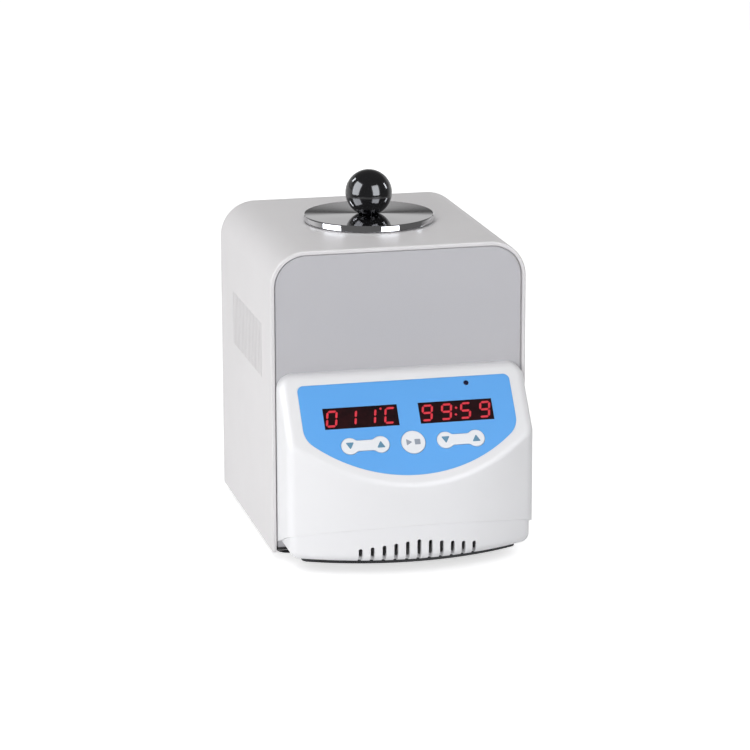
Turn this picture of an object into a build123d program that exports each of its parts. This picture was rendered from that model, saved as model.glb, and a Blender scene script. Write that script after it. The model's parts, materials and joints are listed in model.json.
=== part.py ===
from build123d import *
import math
import os

# All lengths are millimetres and all angles are degrees.
# X points to the right, Y to the back and Z up, and Z is 0 under the feet.

# Cover: one bent sheet, open below, with two round corners along the top
COVER_WIDTH = 165.0
COVER_DEPTH = 166.0
COVER_HEIGHT = 194.0
COVER_CORNER_RADIUS = 23.0
COVER_SHEET = 1.5
RIM_WIDTH = 2.4
RIM_DEPTH = 4.0
RIM_ROUNDING = 1.0
RETURN_FLANGE_WIDTH = 11.0
BOTTOM_FLANGE_WIDTH = 25.0

# Side vents: one row of upright slots in each side of the cover
SIDE_VENT_COUNT = 20
SIDE_VENT_PITCH = 4.8
SIDE_VENT_SLOT_WIDTH = 1.6
SIDE_VENT_SLOT_HEIGHT = 35.0
SIDE_VENT_CENTRE_DEPTH = 76.0
SIDE_VENT_CENTRE_HEIGHT = 125.0

# Flat panels that close the cover at the front and the rear
PANEL_SHEET = 1.5
PANEL_SETBACK = 1.2
PANEL_GAP = 1.0
WIRE_WINDOW_WIDTH = 104.0
WIRE_WINDOW_HEIGHT = 58.0
WIRE_WINDOW_BOTTOM = 24.0

# Rear vents: a column of level slots
REAR_VENT_COUNT = 8
REAR_VENT_PITCH = 8.0
REAR_VENT_SLOT_WIDTH = 70.0
REAR_VENT_SLOT_HEIGHT = 3.0
REAR_VENT_TOP_DROP = 26.0

# Base pan and feet
PAN_SHEET = 1.5
PAN_CLEARANCE = 0.3
PAN_SIDE_HEIGHT = 12.0
PAN_END_CLEARANCE = 0.6
PAN_VENT_COUNT = 6
PAN_VENT_PITCH = 9.0
PAN_VENT_LENGTH = 36.0
PAN_VENT_WIDTH = 3.0
APRON_SETBACK = 8.5
APRON_LIP = 1.5
APRON_ROUNDING = 5.0
FOOT_HEIGHT = 5.0
FOOT_TOP_RADIUS = 9.0
FOOT_TREAD_RADIUS = 7.5
FOOT_RECESS_RADIUS = 4.5
FOOT_RECESS_DEPTH = 3.4
FOOT_INSET_X = 14.0
FOOT_INSET_Y = 20.0

# Console: the moulding that bulges out in front of the lower half
CONSOLE_SIDE_GAP = 0.8
CONSOLE_TOP_MARGIN = 5.6
CONSOLE_LIFT = 4.5
CONSOLE_REACH = 54.0
CONSOLE_FRONT_RADIUS = 160.0
CONSOLE_UPRIGHT_ROUNDING = 9.0
CONSOLE_TOP_ROUNDING = 10.0
CONSOLE_FACET_ROUNDING = 6.0
CONSOLE_WALL = 2.5
BAND_STEP = 1.8
BAND_FRONT_HEIGHT = 28.2
BAND_ROUNDING = 6.0
CREASE_SLOPE = 21.0
CONSOLE_SLOT_COUNT = 11
CONSOLE_SLOT_PITCH = 7.3
CONSOLE_SLOT_WIDTH = 2.6
CONSOLE_SLOT_DEPTH = 7.0
CONSOLE_SLOT_TALLEST = 18.6
CONSOLE_SLOT_FALL = 1.0

# The sloping facet, laid out from the middle of the overlay's top edge
FACET_ANGLE = 38.0
OVERLAY_TOP_HEIGHT = 110.4
OVERLAY_TOP_REACH = 10.2
OVERLAY_SIDE_MARGIN = 10.9
OVERLAY_LENGTH = 64.2
OVERLAY_BOW_RADIUS = 97.0
OVERLAY_TOP_ROUNDING = 4.0
OVERLAY_SIDE_ROUNDING = 15.0
OVERLAY_FILM = 0.5
OVERLAY_EDGE_GAP = 0.15

# Displays, lamp and keys on the facet: right-hand offsets and drops from the overlay's top
DISPLAY_OFFSET = 30.6
DISPLAY_DROP = 23.2
DISPLAY_WINDOW_WIDTH = 47.7
DISPLAY_WINDOW_HEIGHT = 14.4
DISPLAY_MODULE_WIDTH = 50.3
DISPLAY_MODULE_HEIGHT = 19.0
DISPLAY_FIT = 0.3
DIGIT_WIDTH = 7.2
DIGIT_HEIGHT = 11.2
DIGIT_PITCH = 12.4
DIGIT_STROKE = 1.4
DIGIT_GAP = 0.25
DIGIT_SLANT = 10.0
DIGIT_THICKNESS = 0.15
DOT_RADIUS = 0.75
LAMP_OFFSET = 40.0
LAMP_DROP = 4.5
LAMP_RADIUS = 1.5
LAMP_FIT = 0.2
LAMP_STAND_OUT = 0.2
KEY_DROP = 42.4
ROCKER_KEY_OFFSET = 30.6
ROCKER_KEY_END_OFFSET = 9.8
ROCKER_KEY_END_RADIUS = 5.5
ROCKER_KEY_WAIST = 7.0
ROCKER_KEY_WAIST_ROUNDING = 3.0
ROUND_KEY_RADIUS = 7.6
KEY_STAND_OUT = 0.5
KEY_FIT = 0.3
KEY_RIM_WIDTH = 1.0
KEY_RIM_THICKNESS = 0.8
KEY_RIM_GAP = 0.7
KEY_EDGE_ROUNDING = 0.35
KEY_AXLE_RADIUS = 0.8
KEY_AXLE_FIT = 0.08
KEY_LUG_GAP = 0.4
KEY_LUG_THICKNESS = 1.5
KEY_LUG_HALF_WIDTH = 1.8
KEY_SWITCH_GAP = 0.5

# Control board behind the facet
BOARD_THICKNESS = 1.6
CONTROL_BOARD_DEPTH = 9.0
CONTROL_BOARD_WIDTH = 120.0
CONTROL_BOARD_LENGTH = 50.0
CONTROL_BOARD_DROP = 27.0
BOSS_RADIUS = 2.8
BOSS_INSET_X = 4.0
BOSS_INSET_Y = 4.0
BOSS_SCREW_GRIP = 5.0
TACT_BODY = 6.0
TACT_BODY_HEIGHT = 3.5
TACT_PLUNGER_RADIUS = 1.7
CHIP_SIZE = 12.0
CHIP_THICKNESS = 1.6
CONNECTOR_WIDTH = 22.0
CONNECTOR_HEIGHT = 8.0
CONNECTOR_THICKNESS = 5.5
CONNECTOR_WALL = 1.0
BUZZER_RADIUS = 6.0
BUZZER_HEIGHT = 7.0
BUZZER_SOUND_HOLE_RADIUS = 1.2
BACK_PART_OFFSET = 34.0

# Well: the crucible under the lid and what surrounds it
WELL_BORE_RADIUS = 20.0
SHELF_HEIGHT = 42.0
CRUCIBLE_WALL = 2.0
CRUCIBLE_ROUNDING = 4.0
BEAD_TOP_GAP = 22.0
BEAD_MOUND = 2.0
BEAD_CLEARANCE = 0.05
TOP_RING_RADIUS = 39.0
TOP_RING_THICKNESS = 1.0
TOP_RING_NECK_WALL = 2.0
TOP_RING_NECK_LENGTH = 5.0
TOP_RING_FIT = 0.1
COVER_HOLE_RADIUS = 28.0
COVER_HOLE_FIT = 0.2
HEATER_GAP = 0.1
HEATER_THICKNESS = 3.0
HEATER_HEIGHT = 90.0
HEATER_RAISE = 20.0
HEATER_SPLIT = 3.0
HEATER_LUG_REACH = 9.0
HEATER_LUG_THICKNESS = 1.5
HEATER_LUG_WIDTH = 14.0
CLAMP_BOLT_REACH = 5.0
CLAMP_BOLT_HEAD = 1.6
INSULATION_GAP = 0.5
INSULATION_WALL = 20.0
INSULATION_FLOOR = 11.0
INSULATION_SLOT_WIDTH = 12.0
SHIELD_SLOT_HEIGHT = 60.0
SHIELD_SHEET = 1.0
SHIELD_FIT = 0.1
SHIELD_TOP_GAP = 4.0
SENSOR_RADIUS = 2.0
SENSOR_FIT = 0.2
SENSOR_ROUNDING = 0.5
SENSOR_TAIL = 12.0

# Lid and knob
LID_RADIUS = 42.3
LID_THICKNESS = 3.7
LID_CHAMFER = 0.6
LID_PLUG_FIT = 0.6
LID_PLUG_LENGTH = 6.0
LID_RECESS_RADIUS = 6.0
LID_RECESS_DEPTH = 4.0
KNOB_RADIUS = 15.1
KNOB_FOOT_RADIUS = 6.5
KNOB_SCREW_GRIP = 12.0
KNOB_HOLE_SPARE = 1.0
KNOB_SCREW_RADIUS = 3.0
KNOB_SCREW_HEAD_RADIUS = 5.0
KNOB_SCREW_HEAD_HEIGHT = 3.4

# Bracket that carries the well on the pan
BRACKET_SHEET = 1.5
BRACKET_SIDE_MARGIN = 6.3
BRACKET_LENGTH = 64.0
BRACKET_FOOT_WIDTH = 11.0
BRACKET_SCREW_INSET = 12.0
CUTOUT_RADIUS = 8.0
CUTOUT_HEIGHT = 5.0
CUTOUT_FLANGE_THICKNESS = 1.0
CUTOUT_FLANGE_LENGTH = 24.0
CUTOUT_OFFSET_X = 32.0
CUTOUT_OFFSET_Y = -18.0

# Power board on the pan, under the bracket
POWER_BOARD_WIDTH = 88.0
POWER_BOARD_LENGTH = 66.0
STANDOFF_HEIGHT = 6.0
STANDOFF_ACROSS_FLATS = 5.5
STANDOFF_INSET = 4.5
TRANSFORMER_WIDTH = 34.0
TRANSFORMER_LENGTH = 14.0
TRANSFORMER_HEIGHT = 28.0
TRANSFORMER_COIL_WIDTH = 21.0
TRANSFORMER_COIL_LENGTH = 27.0
TRANSFORMER_COIL_HEIGHT = 17.0
TRANSFORMER_COIL_ROUNDING = 2.0
TRANSFORMER_PLACE = (-22.0, 14.0)
RELAY_WIDTH = 19.0
RELAY_LENGTH = 15.5
RELAY_HEIGHT = 15.5
RELAY_ROUNDING = 1.0
RELAY_PLACE = (20.0, 16.0)
CAPACITOR_RADIUS = 6.3
CAPACITOR_HEIGHT = 20.0
CAPACITOR_ROUNDING = 0.8
CAPACITOR_PLACE = (32.0, -4.0)
TERMINAL_COUNT = 5
TERMINAL_PITCH = 7.6
TERMINAL_LENGTH = 11.0
TERMINAL_HEIGHT = 12.0
TERMINAL_WELL_RADIUS = 2.4
TERMINAL_WELL_DEPTH = 4.0
TERMINAL_PLACE = (0.0, -22.0)

# Power inlet at the rear: socket, fuse drawer and rocker in one moulding
INLET_SIDE_DISTANCE = 38.5
INLET_BOTTOM = 15.0
INLET_FLANGE_WIDTH = 34.0
INLET_FLANGE_HEIGHT = 58.0
INLET_FLANGE_THICKNESS = 2.2
INLET_FLANGE_ROUNDING = 2.5
INLET_BODY_WIDTH = 28.0
INLET_BODY_HEIGHT = 52.0
INLET_BODY_DEPTH = 28.0
INLET_CUTOUT_FIT = 0.2
SOCKET_WIDTH = 24.4
SOCKET_HEIGHT = 16.6
SOCKET_DEPTH = 17.0
SOCKET_RAISE = 15.0
SOCKET_CHAMFER = 4.0
PIN_LONG = 4.0
PIN_SHORT = 2.0
PIN_LENGTH = 16.0
PIN_SPACING = 7.0
PIN_DROP = 3.0
PIN_EARTH_RISE = 1.0
PIN_TAB_LENGTH = 8.0
FUSE_DRAWER_RAISE = 30.6
FUSE_DRAWER_WIDTH = 14.6
FUSE_DRAWER_HEIGHT = 7.2
FUSE_DRAWER_DEPTH = 25.0
FUSE_DRAWER_FACE_WIDTH = 18.0
FUSE_DRAWER_FACE_HEIGHT = 8.6
FUSE_DRAWER_FACE_THICKNESS = 1.6
FUSE_DRAWER_FACE_ROUNDING = 1.0
FUSE_DRAWER_WALL = 0.9
FUSE_DRAWER_NOTCH = 3.0
FUSE_DRAWER_SEAT_GAP = 0.1
FUSE_CHANNEL_WIDTH = 5.5
FUSE_CHANNEL_START = 2.0
FUSE_CHANNEL_LENGTH = 20.6
FUSE_RADIUS = 2.5
FUSE_LENGTH = 20.0
FUSE_CAP_LENGTH = 5.0
FUSE_CAP_STEP = 0.15
FUSE_FIT = 0.05
ROCKER_RAISE = 44.5
ROCKER_SIZE = 10.2
ROCKER_HEIGHT = 12.6
ROCKER_PIVOT_DEPTH = 3.5
ROCKER_ANGLE = 10.0
ROCKER_FLOOR_DEPTH = 8.0
ROCKER_STOP_GAP = 0.1
ROCKER_PIN_RADIUS = 1.5
ROCKER_PIN_FIT = 0.08
ROCKER_PIN_LENGTH = 1.2
INLET_PART_FIT = 0.3

# Screws: head radius, head height and shank radius of each size
M3_HEAD_RADIUS = 2.8
M3_HEAD_HEIGHT = 2.0
M3_SHANK_RADIUS = 1.5
M4_HEAD_RADIUS = 3.6
M4_HEAD_HEIGHT = 2.4
M4_SHANK_RADIUS = 2.0
SCREW_HOLE_FIT = 0.1
SCREW_SLOT_WIDTH = 0.9
SCREW_SLOT_DEPTH = 1.0
SCREW_SLOT_END_MARGIN = 1.1
SCREW_HEAD_ROUNDING = 0.7
SCREW_END_SPARE = 2.0
PANEL_SCREW_INSET = 7.0
PANEL_SCREW_LOW_HEIGHT = 24.0
PANEL_SCREW_TOP_DROP = 34.0
BASE_SCREW_INSET_X = 7.0
BASE_SCREW_INSET_Y = 44.0
APRON_SCREW_OFFSET = 40.0
APRON_SCREW_REACH = 18.0
CONSOLE_BOSS_INSET = 13.3
CONSOLE_BOSS_LOW_HEIGHT = 14.0
CONSOLE_BOSS_TOP_DROP = 29.0
CONSOLE_BOSS_RADIUS = 3.6
CONSOLE_BOSS_LENGTH = 9.0
CONSOLE_RIB = 1.8

# Spare length of a cut past the faces that it goes through
CUT = 1.0

# Distance within which two points or directions count as the same
TOLERANCE = 0.01

# Heights and depths that follow from the sizes above
BASE_Z = FOOT_HEIGHT
PAN_Z = BASE_Z + COVER_SHEET
PAN_TOP = PAN_Z + PAN_SHEET
COVER_TOP = BASE_Z + COVER_HEIGHT
PANEL_BACK = PANEL_SETBACK + PANEL_SHEET
REAR_FACE = COVER_DEPTH - PANEL_SETBACK
INLET_FACE = REAR_FACE + INLET_FLANGE_THICKNESS
INLET_OFFSET = COVER_WIDTH / 2 - INLET_SIDE_DISTANCE
WELL_CENTRE_DEPTH = COVER_DEPTH / 2
CONSOLE_WIDTH = COVER_WIDTH - 2 * (RIM_WIDTH + CONSOLE_SIDE_GAP)
CONSOLE_BOTTOM = BASE_Z + CONSOLE_LIFT
CONSOLE_TOP = BASE_Z + OVERLAY_TOP_HEIGHT + CONSOLE_TOP_MARGIN
OVERLAY_HALF_WIDTH = CONSOLE_WIDTH / 2 - OVERLAY_SIDE_MARGIN

# The rocker's raised end is the rearmost point, and the console's middle the foremost
ROCKER_CORNER_ANGLE = math.degrees(
    math.asin(ROCKER_PIVOT_DEPTH * math.cos(math.radians(ROCKER_ANGLE)) / ROCKER_SIZE)
)
ROCKER_RISE = (
    ROCKER_SIZE * math.sin(math.radians(ROCKER_CORNER_ANGLE + 2 * ROCKER_ANGLE)) - ROCKER_PIVOT_DEPTH
)
FRONT_Y = (CONSOLE_REACH - INLET_FACE - ROCKER_RISE) / 2

# The rocker's well is only as deep as its lowered end needs, so its floor is the stop
ROCKER_FLOOR_CORNER = math.degrees(math.asin((ROCKER_FLOOR_DEPTH - ROCKER_PIVOT_DEPTH) / ROCKER_SIZE))
ROCKER_WELL_DEPTH = (
    ROCKER_PIVOT_DEPTH
    + ROCKER_SIZE * math.sin(math.radians(ROCKER_FLOOR_CORNER + ROCKER_ANGLE))
    + ROCKER_STOP_GAP
)

# Heights in the well, from the bracket's shelf up to the ring that the lid rests on
SHELF_TOP = PAN_TOP + SHELF_HEIGHT
SHIELD_FLOOR = SHELF_TOP + SHIELD_SHEET
CRUCIBLE_BOTTOM = SHIELD_FLOOR + INSULATION_FLOOR
CRUCIBLE_RADIUS = WELL_BORE_RADIUS + CRUCIBLE_WALL
RING_TOP = COVER_TOP + TOP_RING_THICKNESS
BEAD_TOP = RING_TOP - BEAD_TOP_GAP
SHIELD_TOP = COVER_TOP - COVER_SHEET - SHIELD_TOP_GAP
HEATER_INNER = CRUCIBLE_RADIUS + HEATER_GAP
HEATER_OUTER = HEATER_INNER + HEATER_THICKNESS
INSULATION_INNER = HEATER_OUTER + INSULATION_GAP
INSULATION_OUTER = INSULATION_INNER + INSULATION_WALL
SHIELD_INNER = INSULATION_OUTER + SHIELD_FIT
SHIELD_OUTER = SHIELD_INNER + SHIELD_SHEET
BRACKET_WIDTH = 2 * (SHIELD_OUTER + BRACKET_SIDE_MARGIN)
HEATER_BOTTOM = CRUCIBLE_BOTTOM + HEATER_RAISE
HEATER_MIDDLE = HEATER_BOTTOM + HEATER_HEIGHT / 2
LID_TOP = RING_TOP + LID_THICKNESS
KNOB_CENTRE = LID_TOP + math.sqrt(KNOB_RADIUS**2 - KNOB_FOOT_RADIUS**2)

# Levels under the facet, measured along its outward normal
KEY_RIM_TOP = -CONSOLE_WALL - KEY_RIM_GAP
KEY_RIM_BOTTOM = KEY_RIM_TOP - KEY_RIM_THICKNESS
KEY_AXLE_LEVEL = KEY_RIM_TOP - KEY_RIM_THICKNESS / 2
TACT_TOP = KEY_RIM_BOTTOM - KEY_SWITCH_GAP
BOARD_FRONT = -CONTROL_BOARD_DEPTH
BOARD_BACK = BOARD_FRONT - BOARD_THICKNESS

# A block much larger than the whole object, for cutting along a plane
HALF_SPACE = (COVER_WIDTH + COVER_DEPTH + COVER_HEIGHT) * 4


def depth(distance):
    """Y of a point at this distance behind the cover's front edge."""
    return FRONT_Y + distance


WELL_Y = depth(WELL_CENTRE_DEPTH)

FACET = Plane(
    origin=(0, depth(-OVERLAY_TOP_REACH), BASE_Z + OVERLAY_TOP_HEIGHT),
    x_dir=(1, 0, 0),
    z_dir=(0, -math.cos(math.radians(FACET_ANGLE)), math.sin(math.radians(FACET_ANGLE))),
)
CREASE = Plane(
    origin=(0, depth(-CONSOLE_REACH), BASE_Z + BAND_FRONT_HEIGHT),
    x_dir=(1, 0, 0),
    z_dir=(0, math.sin(math.radians(CREASE_SLOPE)), math.cos(math.radians(CREASE_SLOPE))),
)


def on_facet(across, drop, level=0.0):
    """Place on the facet: across to the right, drop below the overlay's top, level outwards."""
    return FACET.location * Pos(across, -drop, level)


def slab(x_span, y_span, z_span):
    spans = (x_span, y_span, z_span)
    centre = [(low + high) / 2 for low, high in spans]
    size = [high - low for low, high in spans]
    return Pos(*centre) * Box(*size)


def rod(radius, z_span, x=0.0, y=0.0):
    low, high = z_span
    return Pos(x, y, (low + high) / 2) * Cylinder(radius, high - low)


def rod_to_back(radius, y_span, x, z):
    near, far = y_span
    return Pos(x, (near + far) / 2, z) * Rot(X=90) * Cylinder(radius, far - near)


def local_block(width, length, level_span):
    """Block centred on its own origin, between two levels."""
    low, high = level_span
    return Pos(0, 0, (low + high) / 2) * Box(width, length, high - low)


def front_extrusion(sketch, near, far):
    """Extrude a front view backwards between two distances behind the cover's front edge."""
    return extrude(Plane.XZ.offset(-depth(near)) * sketch, amount=near - far)


def rounded_rectangle(width, height, rounding):
    outline = Rectangle(width, height)
    return fillet(outline.vertices(), rounding)


def arch(inset, bottom):
    """Front view of the cover, moved inwards by an inset."""
    top = COVER_TOP - inset
    outline = Pos(0, (top + bottom) / 2) * Rectangle(COVER_WIDTH - 2 * inset, top - bottom)
    return fillet(outline.vertices().group_by(Axis.Y)[-1], COVER_CORNER_RADIUS - inset)


def screw(head_radius, head_height, shank_radius, length):
    """Pan-head screw with a cross slot: its seat is at 0 and its head points along +Z."""
    head = rod(head_radius, (0, head_height))
    head = fillet(head.faces().sort_by(Axis.Z)[-1].edges(), SCREW_HEAD_ROUNDING)
    for turn in (0, 90):
        slot = Box(2 * (head_radius - SCREW_SLOT_END_MARGIN), SCREW_SLOT_WIDTH, 2 * SCREW_SLOT_DEPTH)
        head -= Pos(0, 0, head_height) * Rot(Z=turn) * slot
    return head + rod(shank_radius, (-length, CUT / 2))


def m3_screw(length):
    return screw(M3_HEAD_RADIUS, M3_HEAD_HEIGHT, M3_SHANK_RADIUS, length)


def m4_screw(length):
    return screw(M4_HEAD_RADIUS, M4_HEAD_HEIGHT, M4_SHANK_RADIUS, length)


def foot_places():
    half = COVER_WIDTH / 2 - FOOT_INSET_X
    return [
        (side * half, depth(distance))
        for distance in (FOOT_INSET_Y, COVER_DEPTH - FOOT_INSET_Y)
        for side in (-1, 1)
    ]


def base_screw_places():
    half = COVER_WIDTH / 2 - BASE_SCREW_INSET_X
    return [
        (side * half, depth(distance))
        for distance in (BASE_SCREW_INSET_Y, COVER_DEPTH - BASE_SCREW_INSET_Y)
        for side in (-1, 1)
    ]


def apron_screw_places():
    return [(side * APRON_SCREW_OFFSET, depth(-APRON_SCREW_REACH)) for side in (-1, 1)]


def panel_screw_places():
    half = COVER_WIDTH / 2 - PANEL_SCREW_INSET
    low = BASE_Z + PANEL_SCREW_LOW_HEIGHT
    high = COVER_TOP - PANEL_SCREW_TOP_DROP
    return [(side * half, height) for height in (low, (low + high) / 2, high) for side in (-1, 1)]


def console_boss_places():
    half = CONSOLE_WIDTH / 2 - CONSOLE_BOSS_INSET
    low = CONSOLE_BOTTOM + CONSOLE_BOSS_LOW_HEIGHT
    high = CONSOLE_TOP - CONSOLE_BOSS_TOP_DROP
    return [(side * half, height) for height in (low, high) for side in (-1, 1)]


def bracket_screw_places():
    half = BRACKET_WIDTH / 2 + BRACKET_FOOT_WIDTH / 2
    reach = BRACKET_LENGTH / 2 - BRACKET_SCREW_INSET
    return [(side * half, WELL_Y + end * reach) for end in (-1, 1) for side in (-1, 1)]


def standoff_places():
    half_width = POWER_BOARD_WIDTH / 2 - STANDOFF_INSET
    half_length = POWER_BOARD_LENGTH / 2 - STANDOFF_INSET
    return [(side * half_width, WELL_Y + end * half_length) for end in (-1, 1) for side in (-1, 1)]


def board_boss_places():
    half_width = CONTROL_BOARD_WIDTH / 2 - BOSS_INSET_X
    half_length = CONTROL_BOARD_LENGTH / 2 - BOSS_INSET_Y
    return [
        (side * half_width, CONTROL_BOARD_DROP + end * half_length)
        for end in (-1, 1)
        for side in (-1, 1)
    ]


def key_switch_offsets():
    rocker_ends = [
        side * ROCKER_KEY_OFFSET + end * ROCKER_KEY_END_OFFSET for side in (-1, 1) for end in (-1, 1)
    ]
    return rocker_ends + [0.0]


def screw_holes(places, shank_radius, z_span):
    return [rod(shank_radius + SCREW_HOLE_FIT, z_span, x, y) for x, y in places]


# Housing

def side_vents():
    first = SIDE_VENT_CENTRE_DEPTH - SIDE_VENT_PITCH * (SIDE_VENT_COUNT - 1) / 2
    low = BASE_Z + SIDE_VENT_CENTRE_HEIGHT - SIDE_VENT_SLOT_HEIGHT / 2
    slots = []
    for number in range(SIDE_VENT_COUNT):
        middle = depth(first + number * SIDE_VENT_PITCH)
        y_span = (middle - SIDE_VENT_SLOT_WIDTH / 2, middle + SIDE_VENT_SLOT_WIDTH / 2)
        slots.append(slab((-COVER_WIDTH, COVER_WIDTH), y_span, (low, low + SIDE_VENT_SLOT_HEIGHT)))
    return slots


def make_cover():
    block = front_extrusion(arch(0, BASE_Z), 0, COVER_DEPTH)
    ends = block.faces().filter_by(Axis.Y)
    rim_edges = [edge for face in ends for edge in face.edges() if edge.center().Z > BASE_Z + CUT]
    cover = fillet(rim_edges, RIM_ROUNDING)
    cover -= front_extrusion(arch(RIM_WIDTH, BASE_Z - CUT), -CUT, COVER_DEPTH + CUT)
    cover -= front_extrusion(arch(COVER_SHEET, BASE_Z - CUT), RIM_DEPTH, COVER_DEPTH - RIM_DEPTH)
    flange = arch(COVER_SHEET / 2, PAN_TOP + PAN_CLEARANCE)
    flange -= arch(RETURN_FLANGE_WIDTH, BASE_Z)
    for near in (PANEL_BACK, COVER_DEPTH - PANEL_BACK - COVER_SHEET):
        cover += front_extrusion(flange, near, near + COVER_SHEET)
    outer = COVER_WIDTH / 2 - COVER_SHEET / 2
    inner = COVER_WIDTH / 2 - BOTTOM_FLANGE_WIDTH
    y_span = (depth(RIM_DEPTH), depth(COVER_DEPTH - RIM_DEPTH))
    for x_span in ((-outer, -inner), (inner, outer)):
        cover += slab(x_span, y_span, (BASE_Z, PAN_Z))
    cover -= rod(COVER_HOLE_RADIUS, (COVER_TOP - COVER_SHEET - CUT, COVER_TOP + CUT), y=WELL_Y)
    cover -= side_vents()
    below = (BASE_Z - CUT, PAN_Z + CUT)
    cover -= screw_holes(base_screw_places(), M3_SHANK_RADIUS, below)
    cover -= screw_holes(foot_places(), M4_SHANK_RADIUS, below)
    rear = (depth(COVER_DEPTH - PANEL_BACK - COVER_SHEET - CUT), depth(COVER_DEPTH - PANEL_BACK + CUT))
    radius = M3_SHANK_RADIUS + SCREW_HOLE_FIT
    cover -= [rod_to_back(radius, rear, x, z) for x, z in panel_screw_places()]
    return cover


def make_front_panel():
    panel = front_extrusion(arch(RIM_WIDTH + PANEL_GAP, PAN_TOP), PANEL_SETBACK, PANEL_BACK)
    low = BASE_Z + WIRE_WINDOW_BOTTOM
    through = (depth(PANEL_SETBACK - CUT), depth(PANEL_BACK + CUT))
    half = WIRE_WINDOW_WIDTH / 2
    panel -= slab((-half, half), through, (low, low + WIRE_WINDOW_HEIGHT))
    radius = M3_SHANK_RADIUS + SCREW_HOLE_FIT
    panel -= [rod_to_back(radius, through, x, z) for x, z in console_boss_places()]
    return panel


def inlet_point(raise_):
    return BASE_Z + INLET_BOTTOM + raise_


def make_rear_panel():
    near = COVER_DEPTH - PANEL_BACK
    panel = front_extrusion(arch(RIM_WIDTH + PANEL_GAP, PAN_TOP), near, REAR_FACE)
    cut_span = (near - CUT, REAR_FACE + CUT)
    opening = Rectangle(INLET_BODY_WIDTH + 2 * INLET_CUTOUT_FIT, INLET_BODY_HEIGHT + 2 * INLET_CUTOUT_FIT)
    panel -= front_extrusion(Pos(-INLET_OFFSET, inlet_point(INLET_FLANGE_HEIGHT / 2)) * opening, *cut_span)
    for number in range(REAR_VENT_COUNT):
        height = COVER_TOP - REAR_VENT_TOP_DROP - number * REAR_VENT_PITCH
        slot = Pos(0, height) * SlotOverall(REAR_VENT_SLOT_WIDTH, REAR_VENT_SLOT_HEIGHT)
        panel -= front_extrusion(slot, *cut_span)
    radius = M3_SHANK_RADIUS + SCREW_HOLE_FIT
    through = (depth(cut_span[0]), depth(cut_span[1]))
    panel -= [rod_to_back(radius, through, x, z) for x, z in panel_screw_places()]
    return panel


def console_plan(inset, back, rounding):
    """Top view of the console, moved inwards by an inset, from its front to a line at the back."""
    half = CONSOLE_WIDTH / 2 - inset
    front = depth(-CONSOLE_REACH + inset)
    radius = CONSOLE_FRONT_RADIUS - inset
    corner = front + radius - math.sqrt(radius**2 - half**2)
    outline = make_face(
        [
            Line((-half, back), (-half, corner)),
            ThreePointArc((-half, corner), (0, front), (half, corner)),
            Line((half, corner), (half, back)),
            Line((half, back), (-half, back)),
        ]
    )
    return fillet(outline.vertices().sort_by(Axis.Y)[:2], rounding)


def upright(sketch, z_span):
    low, high = z_span
    return Pos(0, 0, low) * extrude(sketch, amount=high - low)


def make_base_pan():
    half = COVER_WIDTH / 2 - RIM_WIDTH - PAN_CLEARANCE
    floor_span = (PAN_Z, PAN_TOP)
    pan = slab((-half, half), (depth(0), depth(REAR_FACE)), floor_span)
    edge = APRON_SETBACK + BAND_STEP
    outer = console_plan(edge, depth(CUT), APRON_ROUNDING)
    inner = console_plan(edge + APRON_LIP, depth(CUT), APRON_ROUNDING - APRON_LIP)
    pan += upright(outer, floor_span)
    lip = upright(outer, (PAN_Z, CONSOLE_BOTTOM)) - upright(inner, (PAN_TOP, CONSOLE_BOTTOM + CUT))
    pan += lip - slab((-half, half), (depth(0), depth(REAR_FACE)), (PAN_TOP, CONSOLE_BOTTOM + CUT))
    start = PANEL_BACK + COVER_SHEET + PAN_END_CLEARANCE
    y_span = (depth(start), depth(COVER_DEPTH - start))
    for x_span in ((-half, -half + PAN_SHEET), (half - PAN_SHEET, half)):
        pan += slab(x_span, y_span, (PAN_Z, PAN_Z + PAN_SIDE_HEIGHT))
    through = (PAN_Z - CUT, PAN_TOP + CUT)
    first = WELL_CENTRE_DEPTH - PAN_VENT_PITCH * (PAN_VENT_COUNT - 1) / 2
    for number in range(PAN_VENT_COUNT):
        slot = Pos(0, depth(first + number * PAN_VENT_PITCH)) * SlotOverall(PAN_VENT_LENGTH, PAN_VENT_WIDTH)
        pan -= upright(slot, through)
    pan -= screw_holes(base_screw_places() + apron_screw_places(), M3_SHANK_RADIUS, through)
    pan -= screw_holes(foot_places(), M4_SHANK_RADIUS, through)
    pan -= screw_holes(bracket_screw_places(), M3_SHANK_RADIUS, through)
    return pan


def make_foot(place):
    x, y = place
    foot = Pos(x, y, FOOT_HEIGHT / 2) * Cone(FOOT_TREAD_RADIUS, FOOT_TOP_RADIUS, FOOT_HEIGHT)
    foot -= rod(FOOT_RECESS_RADIUS, (-CUT, FOOT_RECESS_DEPTH), x, y)
    foot -= rod(M4_SHANK_RADIUS + SCREW_HOLE_FIT, (0, FOOT_HEIGHT + CUT), x, y)
    return foot


# Console

def console_block(inset, back):
    """The bulging block, cut by the facet, with rounded top corners and a soft ridge."""
    half = CONSOLE_WIDTH / 2 - inset
    bottom = CONSOLE_BOTTOM + inset
    top = CONSOLE_TOP - inset
    plan = console_plan(inset, back, CONSOLE_UPRIGHT_ROUNDING - inset)
    front_view = Pos(0, (bottom + top) / 2) * Rectangle(2 * half, top - bottom)
    front_view = fillet(front_view.vertices().group_by(Axis.Y)[-1], CONSOLE_TOP_ROUNDING - inset)
    block = upright(plan, (bottom, top)) & front_extrusion(front_view, -CONSOLE_REACH - CUT, COVER_DEPTH)
    block -= on_facet(0, 0, HALF_SPACE / 2 - inset) * Box(HALF_SPACE, HALF_SPACE, HALF_SPACE)
    sloping = [face for face in block.faces().filter_by(GeomType.PLANE) if is_facet(face)]
    return fillet(sloping[0].outer_wire().edges(), CONSOLE_FACET_ROUNDING - inset)


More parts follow.
